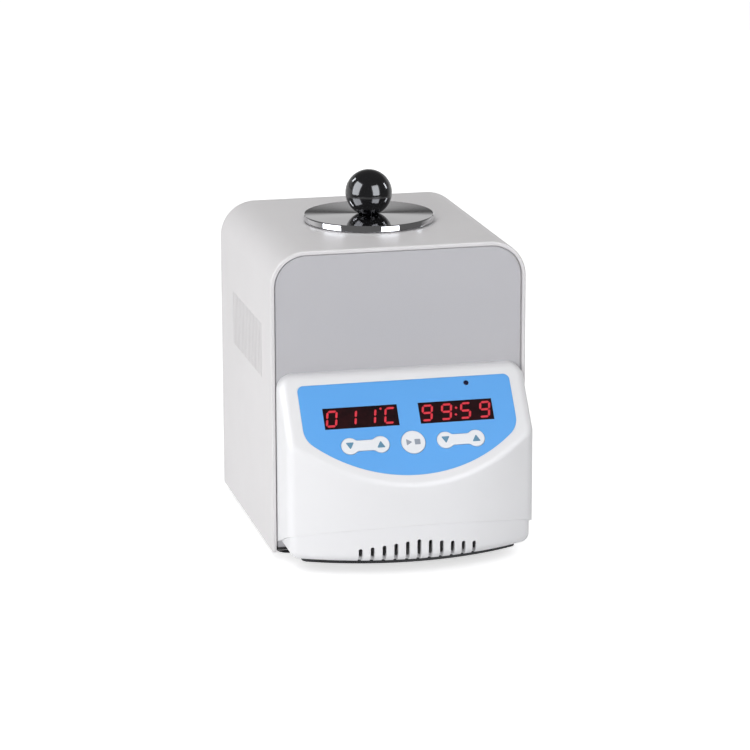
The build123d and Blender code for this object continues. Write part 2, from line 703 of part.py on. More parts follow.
def is_facet(face):
    return (face.normal_at() - FACET.z_dir).length < TOLERANCE


def console_band(inset, back):
    """The band below the crease: set back by a step, with a rounded lower edge."""
    band_inset = inset + BAND_STEP
    plan = console_plan(band_inset, back, CONSOLE_UPRIGHT_ROUNDING - band_inset)
    top = BASE_Z + BAND_FRONT_HEIGHT + CONSOLE_WALL + CUT
    band = upright(plan, (CONSOLE_BOTTOM + inset, top))
    lower = band.faces().sort_by(Axis.Z)[0].edges()
    lower = [edge for edge in lower if edge.center().Y < back - CUT]
    return fillet(lower, BAND_ROUNDING - inset)


def console_form(inset, back):
    """Block above the crease, and the band below it."""
    below = CREASE.location * Pos(0, 0, inset - HALF_SPACE / 2) * Box(HALF_SPACE, HALF_SPACE, HALF_SPACE)
    return console_block(inset, back) - below + console_band(inset, back)


def overlay_outline(margin):
    """Straight top and sides, and one shallow bow along the bottom."""
    half = OVERLAY_HALF_WIDTH
    radius = OVERLAY_BOW_RADIUS
    side = -OVERLAY_LENGTH + radius - math.sqrt(radius**2 - half**2)
    outline = make_face(
        [
            Line((-half, 0), (-half, side)),
            ThreePointArc((-half, side), (0, -OVERLAY_LENGTH), (half, side)),
            Line((half, side), (half, 0)),
            Line((half, 0), (-half, 0)),
        ]
    )
    outline = fillet(outline.vertices().group_by(Axis.Y)[-1], OVERLAY_TOP_ROUNDING)
    lower = [vertex for vertex in outline.vertices() if abs(vertex.Y - side) < TOLERANCE]
    outline = fillet(lower, OVERLAY_SIDE_ROUNDING)
    return offset(outline, margin) if margin else outline


def rocker_key_outline(margin):
    """Two round ends joined by a narrower waist."""
    outline = Rectangle(2 * ROCKER_KEY_END_OFFSET, ROCKER_KEY_WAIST + 2 * margin)
    for side in (-1, 1):
        outline += Pos(side * ROCKER_KEY_END_OFFSET, 0) * Circle(ROCKER_KEY_END_RADIUS + margin)
    junctions = [vertex for vertex in outline.vertices() if abs(vertex.Y) > TOLERANCE]
    return fillet(junctions, ROCKER_KEY_WAIST_ROUNDING)


def round_key_outline(margin):
    return Circle(ROUND_KEY_RADIUS + margin)


def key_outlines(margin):
    """Where each key is, with its outline."""
    return [
        (-ROCKER_KEY_OFFSET, rocker_key_outline(margin)),
        (0.0, round_key_outline(margin)),
        (ROCKER_KEY_OFFSET, rocker_key_outline(margin)),
    ]


def on_level(across, drop, sketch, level_span):
    """Extrude a sketch between two levels above the facet."""
    low, high = level_span
    return on_facet(across, drop, low) * extrude(sketch, amount=high - low)


def axle_lug_offset():
    return ROCKER_KEY_WAIST / 2 + KEY_RIM_WIDTH + KEY_LUG_GAP


def key_lugs():
    """The four lugs behind the facet that the rocker keys' axles turn in."""
    lugs = []
    low = KEY_AXLE_LEVEL - KEY_LUG_HALF_WIDTH
    middle = axle_lug_offset() + KEY_LUG_THICKNESS / 2
    bore = Rot(X=90) * Cylinder(KEY_AXLE_RADIUS + KEY_AXLE_FIT, 2 * (middle + KEY_LUG_THICKNESS))
    for across in (-ROCKER_KEY_OFFSET, ROCKER_KEY_OFFSET):
        place = on_facet(across, KEY_DROP)
        for side in (-1, 1):
            lug = local_block(2 * KEY_LUG_HALF_WIDTH, KEY_LUG_THICKNESS, (low, -CONSOLE_WALL + OVERLAY_FILM))
            lug = Pos(0, side * middle, 0) * lug
            lugs.append(place * (lug - Pos(0, 0, KEY_AXLE_LEVEL) * bore))
    return lugs


def panel_bosses():
    """Bosses at the console's back edge, each with a rib to the side wall."""
    bosses = []
    back = depth(PANEL_SETBACK)
    wall = CONSOLE_WIDTH / 2 - (CONSOLE_WALL + BAND_STEP) / 2
    for x, z in console_boss_places():
        side = math.copysign(1, x)
        boss = rod_to_back(CONSOLE_BOSS_RADIUS, (back - CONSOLE_BOSS_LENGTH, back), x, z)
        x_span = sorted((x, side * wall))
        boss += slab(x_span, (back - CONSOLE_BOSS_LENGTH, back), (z - CONSOLE_RIB / 2, z + CONSOLE_RIB / 2))
        bore_span = (back - CONSOLE_BOSS_LENGTH + CUT, back + CUT)
        boss -= rod_to_back(M3_SHANK_RADIUS + SCREW_HOLE_FIT, bore_span, x, z)
        bosses.append(boss)
    return bosses


def console_slots():
    """Upright slots in the band, tallest in the middle, that run on round its lower edge."""
    core = upright(
        console_plan(BAND_STEP + CONSOLE_SLOT_DEPTH, depth(0), APRON_ROUNDING), (0, CONSOLE_TOP)
    )
    slots = []
    middle = CONSOLE_SLOT_COUNT // 2
    low = CONSOLE_BOTTOM - CONSOLE_SLOT_WIDTH
    for number in range(-middle, middle + 1):
        high = BASE_Z + CONSOLE_SLOT_TALLEST - CONSOLE_SLOT_FALL * abs(number)
        outline = Rot(0, 0, 90) * SlotOverall(high - low, CONSOLE_SLOT_WIDTH)
        outline = Pos(number * CONSOLE_SLOT_PITCH, (low + high) / 2) * outline
        slots.append(front_extrusion(outline, -CONSOLE_REACH - CUT, -CONSOLE_REACH / 2) - core)
    return slots


def facet_openings():
    """Pocket for the overlay, and the holes for displays, lamp and keys."""
    wall = (-CONSOLE_WALL - CUT, CUT)
    cuts = [on_level(0, 0, overlay_outline(OVERLAY_EDGE_GAP), (-OVERLAY_FILM, CUT))]
    window = Rectangle(DISPLAY_MODULE_WIDTH + 2 * DISPLAY_FIT, DISPLAY_MODULE_HEIGHT + 2 * DISPLAY_FIT)
    for side in (-1, 1):
        cuts.append(on_level(side * DISPLAY_OFFSET, DISPLAY_DROP, window, wall))
    cuts.append(on_level(LAMP_OFFSET, LAMP_DROP, Circle(LAMP_RADIUS + LAMP_FIT), wall))
    for across, outline in key_outlines(KEY_FIT):
        cuts.append(on_level(across, KEY_DROP, outline, wall))
    return cuts


def make_console():
    back = depth(PANEL_SETBACK)
    console = console_form(0, back) - console_form(CONSOLE_WALL, back + CUT)
    console += panel_bosses()
    for across, drop in board_boss_places():
        boss = Circle(BOSS_RADIUS) - Circle(M3_SHANK_RADIUS + SCREW_HOLE_FIT)
        console += on_level(across, drop, boss, (BOARD_FRONT, -CONSOLE_WALL + OVERLAY_FILM))
    console -= facet_openings()
    console += key_lugs()
    console -= console_slots()
    through = (CONSOLE_BOTTOM - CUT, CONSOLE_BOTTOM + CONSOLE_WALL + CUT)
    return console - screw_holes(apron_screw_places(), M3_SHANK_RADIUS, through)


def make_overlay():
    film = (-OVERLAY_FILM, 0)
    through = (-OVERLAY_FILM - CUT, CUT)
    overlay = on_level(0, 0, overlay_outline(0), film)
    for side in (-1, 1):
        window = Rectangle(DISPLAY_WINDOW_WIDTH, DISPLAY_WINDOW_HEIGHT)
        overlay -= on_level(side * DISPLAY_OFFSET, DISPLAY_DROP, window, through)
    overlay -= on_level(LAMP_OFFSET, LAMP_DROP, Circle(LAMP_RADIUS + LAMP_FIT), through)
    for across, outline in key_outlines(KEY_FIT):
        overlay -= on_level(across, KEY_DROP, outline, through)
    return overlay


def make_display(side):
    block = local_block(DISPLAY_MODULE_WIDTH, DISPLAY_MODULE_HEIGHT, (BOARD_FRONT, -OVERLAY_FILM))
    return on_facet(side * DISPLAY_OFFSET, DISPLAY_DROP) * block


DEGREE_DOT = (2.5, 0.44)
COLON_DOTS = ((1.5, 0.2), (1.5, -0.2))
SEGMENTS_LIT = {"0": "abcdef", "1": "bc", "5": "acdfg", "9": "abcdfg", "C": "adef"}
SEGMENT_ENDS = {
    "a": ((-1, 1), (1, 1)),
    "b": ((1, 0), (1, 1)),
    "c": ((1, -1), (1, 0)),
    "d": ((-1, -1), (1, -1)),
    "e": ((-1, -1), (-1, 0)),
    "f": ((-1, 0), (-1, 1)),
    "g": ((-1, 0), (1, 0)),
}


def slanted(x, y):
    return (x + y * math.tan(math.radians(DIGIT_SLANT)), y)


def segment_outline(start, end):
    """A bar with pointed ends between two joints of a digit."""
    half_x = (DIGIT_WIDTH - DIGIT_STROKE) / 2
    half_y = (DIGIT_HEIGHT - DIGIT_STROKE) / 2
    x0, y0, x1, y1 = start[0] * half_x, start[1] * half_y, end[0] * half_x, end[1] * half_y
    length = math.hypot(x1 - x0, y1 - y0)
    along = ((x1 - x0) / length, (y1 - y0) / length)
    half = DIGIT_STROKE / 2
    outline = []
    for run, rise in (
        (DIGIT_GAP, 0),
        (DIGIT_GAP + half, half),
        (length - DIGIT_GAP - half, half),
        (length - DIGIT_GAP, 0),
        (length - DIGIT_GAP - half, -half),
        (DIGIT_GAP + half, -half),
    ):
        outline.append(slanted(x0 + along[0] * run - along[1] * rise, y0 + along[1] * run + along[0] * rise))
    return make_face(Polyline(*outline, close=True))


def make_reading(side, letters, dots):
    """Lit segments of four digits, and round dots given by digit place and share of the height."""
    level = (-OVERLAY_FILM, -OVERLAY_FILM + DIGIT_THICKNESS)
    lit = []
    for number, letter in enumerate(letters):
        across = side * DISPLAY_OFFSET + (number - (len(letters) - 1) / 2) * DIGIT_PITCH
        for name in SEGMENTS_LIT[letter]:
            lit.append(on_level(across, DISPLAY_DROP, segment_outline(*SEGMENT_ENDS[name]), level))
    for place, rise in dots:
        across, up = slanted((place - (len(letters) - 1) / 2) * DIGIT_PITCH, rise * DIGIT_HEIGHT)
        dot = Circle(DOT_RADIUS)
        lit.append(on_level(side * DISPLAY_OFFSET + across, DISPLAY_DROP - up, dot, level))
    return Compound(children=lit)


def make_status_lamp():
    lamp = rod(LAMP_RADIUS, (BOARD_FRONT, LAMP_STAND_OUT))
    lamp = fillet(lamp.faces().sort_by(Axis.Z)[-1].edges(), LAMP_STAND_OUT)
    return on_facet(LAMP_OFFSET, LAMP_DROP) * lamp


def key_cap(outline, rim_outline):
    """Key with a rim behind the facet that keeps it in."""
    cap = Pos(0, 0, KEY_RIM_BOTTOM) * extrude(outline, amount=KEY_STAND_OUT - KEY_RIM_BOTTOM)
    cap = fillet(cap.faces().sort_by(Axis.Z)[-1].edges(), KEY_EDGE_ROUNDING)
    return cap + Pos(0, 0, KEY_RIM_BOTTOM) * extrude(rim_outline, amount=KEY_RIM_THICKNESS)


def make_rocker_key(side):
    key = key_cap(rocker_key_outline(0), rocker_key_outline(KEY_RIM_WIDTH))
    length = 2 * (axle_lug_offset() + KEY_LUG_THICKNESS)
    key += Pos(0, 0, KEY_AXLE_LEVEL) * Rot(X=90) * Cylinder(KEY_AXLE_RADIUS, length)
    return on_facet(side * ROCKER_KEY_OFFSET, KEY_DROP) * key


def make_round_key():
    key = key_cap(round_key_outline(0), round_key_outline(KEY_RIM_WIDTH))
    return on_facet(0, KEY_DROP) * key


# Control board and what it carries

def make_control_board():
    board = on_facet(0, CONTROL_BOARD_DROP) * local_block(
        CONTROL_BOARD_WIDTH, CONTROL_BOARD_LENGTH, (BOARD_BACK, BOARD_FRONT)
    )
    hole = Circle(M3_SHANK_RADIUS + SCREW_HOLE_FIT)
    through = (BOARD_BACK - CUT, BOARD_FRONT + CUT)
    board -= [on_level(across, drop, hole, through) for across, drop in board_boss_places()]
    return board


def make_tact_switches():
    switches = []
    for across in key_switch_offsets():
        switch = local_block(TACT_BODY, TACT_BODY, (BOARD_FRONT, BOARD_FRONT + TACT_BODY_HEIGHT))
        switch += rod(TACT_PLUNGER_RADIUS, (BOARD_FRONT + CUT, TACT_TOP))
        switches.append(on_facet(across, KEY_DROP) * switch)
    return Compound(children=switches)


def make_controller_chip():
    chip = local_block(CHIP_SIZE, CHIP_SIZE, (BOARD_BACK - CHIP_THICKNESS, BOARD_BACK))
    return on_facet(0, CONTROL_BOARD_DROP) * chip


def make_board_connector():
    level = (BOARD_BACK - CONNECTOR_THICKNESS, BOARD_BACK)
    shell = local_block(CONNECTOR_WIDTH, CONNECTOR_HEIGHT, level)
    inner = (CONNECTOR_WIDTH - 2 * CONNECTOR_WALL, CONNECTOR_HEIGHT - 2 * CONNECTOR_WALL)
    shell -= local_block(*inner, (level[0] - CUT, level[1] - CONNECTOR_WALL))
    return on_facet(-BACK_PART_OFFSET, CONTROL_BOARD_DROP) * shell


def make_buzzer():
    low = BOARD_BACK - BUZZER_HEIGHT
    buzzer = rod(BUZZER_RADIUS, (low, BOARD_BACK)) - rod(BUZZER_SOUND_HOLE_RADIUS, (low - CUT, low + CUT))
    return on_facet(BACK_PART_OFFSET, CONTROL_BOARD_DROP) * buzzer


# Well, heater and insulation

def make_top_ring():
    neck_outer = COVER_HOLE_RADIUS - COVER_HOLE_FIT
    ring = rod(TOP_RING_RADIUS, (COVER_TOP, RING_TOP), y=WELL_Y)
    ring += rod(neck_outer, (COVER_TOP - TOP_RING_NECK_LENGTH, RING_TOP), y=WELL_Y)
    ring -= rod(neck_outer - TOP_RING_NECK_WALL, (SHIELD_FLOOR, COVER_TOP), y=WELL_Y)
    return ring - rod(CRUCIBLE_RADIUS + TOP_RING_FIT, (COVER_TOP - CUT, RING_TOP + CUT), y=WELL_Y)


def make_crucible():
    outside = rod(CRUCIBLE_RADIUS, (CRUCIBLE_BOTTOM, RING_TOP))
    outside = fillet(outside.faces().sort_by(Axis.Z)[0].edges(), CRUCIBLE_ROUNDING + CRUCIBLE_WALL)
    inside = rod(WELL_BORE_RADIUS, (CRUCIBLE_BOTTOM + CRUCIBLE_WALL, RING_TOP + CUT))
    inside = fillet(inside.faces().sort_by(Axis.Z)[0].edges(), CRUCIBLE_ROUNDING)
    return Pos(0, WELL_Y, 0) * (outside - inside)


def make_glass_beads():
    """The charge of beads, heaped a little in the middle."""
    radius = WELL_BORE_RADIUS - BEAD_CLEARANCE
    charge = rod(radius, (CRUCIBLE_BOTTOM + CRUCIBLE_WALL, BEAD_TOP))
    charge = fillet(charge.faces().sort_by(Axis.Z)[0].edges(), CRUCIBLE_ROUNDING)
    mound_radius = (radius**2 + BEAD_MOUND**2) / (2 * BEAD_MOUND)
    mound = Pos(0, 0, BEAD_TOP + BEAD_MOUND - mound_radius) * Sphere(mound_radius)
    mound &= rod(radius, (BEAD_TOP, BEAD_TOP + 2 * BEAD_MOUND))
    return Pos(0, WELL_Y, 0) * (charge + mound)


def make_band_heater():
    """Split band with two lugs at the back that a bolt draws together."""
    z_span = (HEATER_BOTTOM, HEATER_BOTTOM + HEATER_HEIGHT)
    band = rod(HEATER_OUTER, z_span) - rod(HEATER_INNER, z_span)
    split = HEATER_SPLIT / 2
    lug_span = (HEATER_MIDDLE - HEATER_LUG_WIDTH / 2, HEATER_MIDDLE + HEATER_LUG_WIDTH / 2)
    for side in (-1, 1):
        x_span = sorted((side * split, side * (split + HEATER_LUG_THICKNESS)))
        band += slab(x_span, (HEATER_INNER + CUT, HEATER_OUTER + HEATER_LUG_REACH), lug_span)
    band -= slab((-split, split), (0, SHIELD_OUTER), (z_span[0] - CUT, z_span[1] + CUT))
    band -= Pos(0, clamp_bolt_reach(), HEATER_MIDDLE) * Rot(Y=90) * Cylinder(
        M3_SHANK_RADIUS + SCREW_HOLE_FIT, SHIELD_OUTER
    )
    return Pos(0, WELL_Y, 0) * band


def clamp_bolt_reach():
    return HEATER_OUTER + HEATER_LUG_REACH / 2


def make_clamp_bolt():
    bolt = Cylinder(M3_SHANK_RADIUS, 2 * CLAMP_BOLT_REACH)
    seat = HEATER_SPLIT / 2 + HEATER_LUG_THICKNESS
    for side in (-1, 1):
        head = extrude(RegularPolygon(M3_HEAD_RADIUS, 6), amount=CLAMP_BOLT_HEAD)
        bolt += Pos(0, 0, seat if side > 0 else -seat - CLAMP_BOLT_HEAD) * head
    return Pos(0, WELL_Y + clamp_bolt_reach(), HEATER_MIDDLE) * Rot(Y=90) * bolt


def make_insulation_sleeve():
    sleeve = rod(INSULATION_OUTER, (SHIELD_FLOOR, SHIELD_TOP))
    sleeve -= rod(INSULATION_INNER, (CRUCIBLE_BOTTOM, SHIELD_TOP + CUT))
    sleeve -= rod(SENSOR_RADIUS + SENSOR_FIT, (SHIELD_FLOOR - CUT, CRUCIBLE_BOTTOM + CUT))
    half = INSULATION_SLOT_WIDTH / 2
    sleeve -= slab((-half, half), (0, SHIELD_OUTER), (CRUCIBLE_BOTTOM, SHIELD_TOP + CUT))
    return Pos(0, WELL_Y, 0) * sleeve


def make_heat_shield():
    can = rod(SHIELD_OUTER, (SHELF_TOP, SHIELD_TOP)) - rod(SHIELD_INNER, (SHIELD_FLOOR, SHIELD_TOP + CUT))
    can -= rod(SENSOR_RADIUS + SENSOR_FIT, (SHELF_TOP - CUT, SHIELD_FLOOR + CUT))
    half = INSULATION_SLOT_WIDTH / 2
    z_span = (CRUCIBLE_BOTTOM, CRUCIBLE_BOTTOM + SHIELD_SLOT_HEIGHT)
    can -= slab((-half, half), (0, SHIELD_OUTER + CUT), z_span)
    return Pos(0, WELL_Y, 0) * can


def make_temperature_probe():
    probe = rod(SENSOR_RADIUS, (SHELF_TOP - SENSOR_TAIL, CRUCIBLE_BOTTOM), y=WELL_Y)
    return fillet(probe.faces().sort_by(Axis.Z)[0].edges(), SENSOR_ROUNDING)


def make_support_bracket():
    """One folded sheet: a shelf on two legs with outward feet."""
    half = BRACKET_WIDTH / 2
    y_span = (WELL_Y - BRACKET_LENGTH / 2, WELL_Y + BRACKET_LENGTH / 2)
    bracket = slab((-half, half), y_span, (SHELF_TOP - BRACKET_SHEET, SHELF_TOP))
    for side in (-1, 1):
        leg = sorted((side * (half - BRACKET_SHEET), side * half))
        foot = sorted((side * (half - BRACKET_SHEET), side * (half + BRACKET_FOOT_WIDTH)))
        bracket += slab(leg, y_span, (PAN_TOP, SHELF_TOP))
        bracket += slab(foot, y_span, (PAN_TOP, PAN_TOP + BRACKET_SHEET))
    bracket -= rod(SENSOR_RADIUS + SENSOR_FIT, (SHELF_TOP - BRACKET_SHEET - CUT, SHELF_TOP + CUT), y=WELL_Y)
    through = (PAN_TOP - CUT, PAN_TOP + BRACKET_SHEET + CUT)
    return bracket - screw_holes(bracket_screw_places(), M3_SHANK_RADIUS, through)


def make_thermal_cutout():
    top = SHELF_TOP - BRACKET_SHEET
    x, y = CUTOUT_OFFSET_X, WELL_Y + CUTOUT_OFFSET_Y
    body = rod(CUTOUT_RADIUS, (top - CUTOUT_FLANGE_THICKNESS - CUTOUT_HEIGHT, top), x, y)
    half = CUTOUT_FLANGE_LENGTH / 2
    y_span = (y - CUTOUT_RADIUS / 2, y + CUTOUT_RADIUS / 2)
    return body + slab((x - half, x + half), y_span, (top - CUTOUT_FLANGE_THICKNESS, top))


# Lid and knob

def make_lid():
    disc = rod(LID_RADIUS, (RING_TOP, LID_TOP))
    disc = chamfer(disc.faces().sort_by(Axis.Z)[-1].edges(), LID_CHAMFER)
    plug = rod(WELL_BORE_RADIUS - LID_PLUG_FIT, (RING_TOP - LID_PLUG_LENGTH, RING_TOP))
    plug = chamfer(plug.faces().sort_by(Axis.Z)[0].edges(), LID_CHAMFER)
    lid = disc + plug
    low = RING_TOP - LID_PLUG_LENGTH
    lid -= rod(LID_RECESS_RADIUS, (low - CUT, low + LID_RECESS_DEPTH))
    lid -= rod(KNOB_SCREW_RADIUS + SCREW_HOLE_FIT, (low, LID_TOP + CUT))
    return Pos(0, WELL_Y, 0) * lid


def make_ball_knob():
    ball = Pos(0, 0, KNOB_CENTRE) * Sphere(KNOB_RADIUS)
    ball &= rod(KNOB_RADIUS + CUT, (LID_TOP, KNOB_CENTRE + KNOB_RADIUS + CUT))
    hole_top = LID_TOP + KNOB_SCREW_GRIP + KNOB_HOLE_SPARE
    ball -= rod(KNOB_SCREW_RADIUS + SCREW_HOLE_FIT, (LID_TOP - CUT, hole_top))
    return Pos(0, WELL_Y, 0) * ball


def make_knob_screw():
    seat = RING_TOP - LID_PLUG_LENGTH + LID_RECESS_DEPTH
    length = LID_TOP + KNOB_SCREW_GRIP - seat
    turned = screw(KNOB_SCREW_HEAD_RADIUS, KNOB_SCREW_HEAD_HEIGHT, KNOB_SCREW_RADIUS, length)
    return Pos(0, WELL_Y, seat) * Rot(X=180) * turned


# Power board

BOARD_Z = PAN_TOP + STANDOFF_HEIGHT
BOARD_TOP = BOARD_Z + BOARD_THICKNESS


def make_power_board():
    half_width = POWER_BOARD_WIDTH / 2
    half_length = POWER_BOARD_LENGTH / 2
    y_span = (WELL_Y - half_length, WELL_Y + half_length)
    board = slab((-half_width, half_width), y_span, (BOARD_Z, BOARD_TOP))
    return board - screw_holes(standoff_places(), M3_SHANK_RADIUS, (BOARD_Z - CUT, BOARD_TOP + CUT))


def make_board_standoffs():
    posts = []
    for x, y in standoff_places():
        hexagon = RegularPolygon(STANDOFF_ACROSS_FLATS / 2, 6, major_radius=False)
        hexagon -= Circle(M3_SHANK_RADIUS + SCREW_HOLE_FIT)
        posts.append(Pos(x, y, PAN_TOP) * extrude(hexagon, amount=STANDOFF_HEIGHT))
    return Compound(children=posts)


def on_power_board(place):
    return Pos(place[0], WELL_Y + place[1], BOARD_TOP)


def make_transformer():
    core = local_block(TRANSFORMER_WIDTH, TRANSFORMER_LENGTH, (0, TRANSFORMER_HEIGHT))
    low = (TRANSFORMER_HEIGHT - TRANSFORMER_COIL_HEIGHT) / 2
    coil = Rectangle(TRANSFORMER_COIL_WIDTH, TRANSFORMER_COIL_LENGTH)
    coil = fillet(coil.vertices(), TRANSFORMER_COIL_ROUNDING)
    core += Pos(0, 0, low) * extrude(coil, amount=TRANSFORMER_COIL_HEIGHT)
    return on_power_board(TRANSFORMER_PLACE) * core


def make_relay():
    relay = local_block(RELAY_WIDTH, RELAY_LENGTH, (0, RELAY_HEIGHT))
    relay = fillet(relay.faces().sort_by(Axis.Z)[-1].edges(), RELAY_ROUNDING)
    return on_power_board(RELAY_PLACE) * relay


def make_capacitor():
    can = rod(CAPACITOR_RADIUS, (0, CAPACITOR_HEIGHT))
    can = fillet(can.faces().sort_by(Axis.Z)[-1].edges(), CAPACITOR_ROUNDING)
    return on_power_board(CAPACITOR_PLACE) * can


def make_terminal_block():
    width = TERMINAL_COUNT * TERMINAL_PITCH
    block = local_block(width, TERMINAL_LENGTH, (0, TERMINAL_HEIGHT))
    for number in range(TERMINAL_COUNT):
        x = (number - (TERMINAL_COUNT - 1) / 2) * TERMINAL_PITCH
        block -= rod(TERMINAL_WELL_RADIUS, (TERMINAL_HEIGHT - TERMINAL_WELL_DEPTH, TERMINAL_HEIGHT + CUT), x)
    return on_power_board(TERMINAL_PLACE) * block


# Power inlet

def inlet_front(raise_, sketch):
    """Move a front view to the inlet, at a height above the flange's lower edge."""
    return Pos(-INLET_OFFSET, inlet_point(raise_)) * sketch


def socket_outline():
    outline = Rectangle(SOCKET_WIDTH, SOCKET_HEIGHT)
    return chamfer(outline.vertices().group_by(Axis.Y)[-1], SOCKET_CHAMFER)


def pin_outlines():
    """Two pins side by side and the earth pin above them."""
    power = [Pos(side * PIN_SPACING, -PIN_DROP) * Rectangle(PIN_SHORT, PIN_LONG) for side in (-1, 1)]
    return power + [Pos(0, PIN_EARTH_RISE) * Rectangle(PIN_SHORT, PIN_LONG)]


def make_power_inlet():
    flange = rounded_rectangle(INLET_FLANGE_WIDTH, INLET_FLANGE_HEIGHT, INLET_FLANGE_ROUNDING)
    body = Rectangle(INLET_BODY_WIDTH, INLET_BODY_HEIGHT)
    middle = INLET_FLANGE_HEIGHT / 2
    inlet = front_extrusion(inlet_front(middle, flange), REAR_FACE, INLET_FACE)
    inlet += front_extrusion(inlet_front(middle, body), REAR_FACE - INLET_BODY_DEPTH, REAR_FACE)
    outside = INLET_FACE + CUT
    inlet -= front_extrusion(inlet_front(SOCKET_RAISE, socket_outline()), INLET_FACE - SOCKET_DEPTH, outside)
    for pin in pin_outlines():
        inlet -= front_extrusion(inlet_front(SOCKET_RAISE, pin), REAR_FACE - INLET_BODY_DEPTH - CUT, outside)
    drawer = Rectangle(FUSE_DRAWER_WIDTH + 2 * INLET_PART_FIT, FUSE_DRAWER_HEIGHT + 2 * INLET_PART_FIT)
    drawer_floor = INLET_FACE - FUSE_DRAWER_DEPTH - INLET_PART_FIT
    inlet -= front_extrusion(inlet_front(FUSE_DRAWER_RAISE, drawer), drawer_floor, outside)
    well = Rectangle(2 * (ROCKER_SIZE + INLET_PART_FIT), ROCKER_HEIGHT + 2 * INLET_PART_FIT)
    inlet -= front_extrusion(inlet_front(ROCKER_RAISE, well), INLET_FACE - ROCKER_WELL_DEPTH, outside)
    return inlet - rocker_place() * rocker_pins(ROCKER_PIN_FIT)


def make_inlet_pins():
    near = REAR_FACE - INLET_BODY_DEPTH - PIN_TAB_LENGTH
    far = INLET_FACE - SOCKET_DEPTH + PIN_LENGTH
    pins = [front_extrusion(inlet_front(SOCKET_RAISE, pin), near, far) for pin in pin_outlines()]
    return Compound(children=pins)


def rocker_place():
    return Pos(-INLET_OFFSET, depth(INLET_FACE - ROCKER_PIVOT_DEPTH), inlet_point(ROCKER_RAISE))


def rocker_pins(fit):
    """The rocker's two pivot stubs as one rod, along Z through the pivot."""
    return Cylinder(ROCKER_PIN_RADIUS + fit, ROCKER_HEIGHT + 2 * (INLET_PART_FIT + ROCKER_PIN_LENGTH + fit))


def make_power_rocker():
    """Rocker with round ends about its pivot and two faces that meet at a shallow angle."""
    reach = ROCKER_SIZE + CUT
    rise = ROCKER_PIVOT_DEPTH + reach * math.tan(math.radians(ROCKER_ANGLE))
    floor = ROCKER_PIVOT_DEPTH - ROCKER_FLOOR_DEPTH
    faces = Polyline(
        (-reach, floor), (reach, floor), (reach, rise), (0, ROCKER_PIVOT_DEPTH), (-reach, rise), close=True
    )
    section = Circle(ROCKER_SIZE) & make_face(faces)
    rocker = Pos(0, 0, -ROCKER_HEIGHT / 2) * extrude(section, amount=ROCKER_HEIGHT)
    rocker += rocker_pins(0)
    return rocker_place() * Rot(Z=ROCKER_ANGLE) * rocker


def fuse_centres():
    half = (FUSE_CHANNEL_WIDTH + FUSE_DRAWER_WALL) / 2
    low = inlet_point(FUSE_DRAWER_RAISE) - FUSE_DRAWER_HEIGHT / 2 + FUSE_DRAWER_WALL
    z = low + FUSE_RADIUS + FUSE_CAP_STEP + FUSE_FIT
    return [(-INLET_OFFSET + side * half, z) for side in (-1, 1)]


def fuse_channel():
    """Near and far end of the channels, as distances behind the cover's front edge."""
    far = INLET_FACE - FUSE_CHANNEL_START
    return far - FUSE_CHANNEL_LENGTH, far


def make_fuse_drawer():
    body = Rectangle(FUSE_DRAWER_WIDTH, FUSE_DRAWER_HEIGHT)
    face = rounded_rectangle(FUSE_DRAWER_FACE_WIDTH, FUSE_DRAWER_FACE_HEIGHT, FUSE_DRAWER_FACE_ROUNDING)
    face -= Pos(0, -FUSE_DRAWER_FACE_HEIGHT / 2) * Circle(FUSE_DRAWER_NOTCH / 2)
    seat = INLET_FACE + FUSE_DRAWER_SEAT_GAP
    drawer = front_extrusion(inlet_front(FUSE_DRAWER_RAISE, body), INLET_FACE - FUSE_DRAWER_DEPTH, seat)
    drawer += front_extrusion(
        inlet_front(FUSE_DRAWER_RAISE, face), seat, seat + FUSE_DRAWER_FACE_THICKNESS
    )
    near, far = fuse_channel()
    top = inlet_point(FUSE_DRAWER_RAISE) + FUSE_DRAWER_HEIGHT / 2
    for x, z in fuse_centres():
        x_span = (x - FUSE_CHANNEL_WIDTH / 2, x + FUSE_CHANNEL_WIDTH / 2)
        low = z - FUSE_RADIUS - FUSE_CAP_STEP - FUSE_FIT
        drawer -= slab(x_span, (depth(near), depth(far)), (low, top + CUT))
    return drawer


def make_fuses():
    near, far = fuse_channel()
    middle = (near + far) / 2
    start, end = middle - FUSE_LENGTH / 2, middle + FUSE_LENGTH / 2
    fuses = []
    for x, z in fuse_centres():
        fuse = rod_to_back(FUSE_RADIUS, (depth(start), depth(end)), x, z)
        for span in ((start, start + FUSE_CAP_LENGTH), (end - FUSE_CAP_LENGTH, end)):
            fuse += rod_to_back(FUSE_RADIUS + FUSE_CAP_STEP, (depth(span[0]), depth(span[1])), x, z)
        fuses.append(fuse)
    return Compound(children=fuses)


# Screws, one group for each kind of place

def make_base_screws():
    down = Rot(X=180)
    length = COVER_SHEET + PAN_SHEET + SCREW_END_SPARE
    screws = [Pos(x, y, BASE_Z) * down * m3_screw(length) for x, y in base_screw_places()]
    length = CONSOLE_BOTTOM + CONSOLE_WALL + SCREW_END_SPARE - PAN_Z
    screws += [Pos(x, y, PAN_Z) * down * m3_screw(length) for x, y in apron_screw_places()]
    return Compound(children=screws)


def make_foot_screws():
    length = FOOT_HEIGHT - FOOT_RECESS_DEPTH + COVER_SHEET + PAN_SHEET + SCREW_END_SPARE
    return Compound(
        children=[Pos(x, y, FOOT_RECESS_DEPTH) * Rot(X=180) * m4_screw(length) for x, y in foot_places()]
    )


def make_rear_screws():
    length = PANEL_SHEET + COVER_SHEET + SCREW_END_SPARE
    return Compound(
        children=[
            Pos(x, depth(REAR_FACE), z) * Rot(X=-90) * m3_screw(length) for x, z in panel_screw_places()
        ]
    )


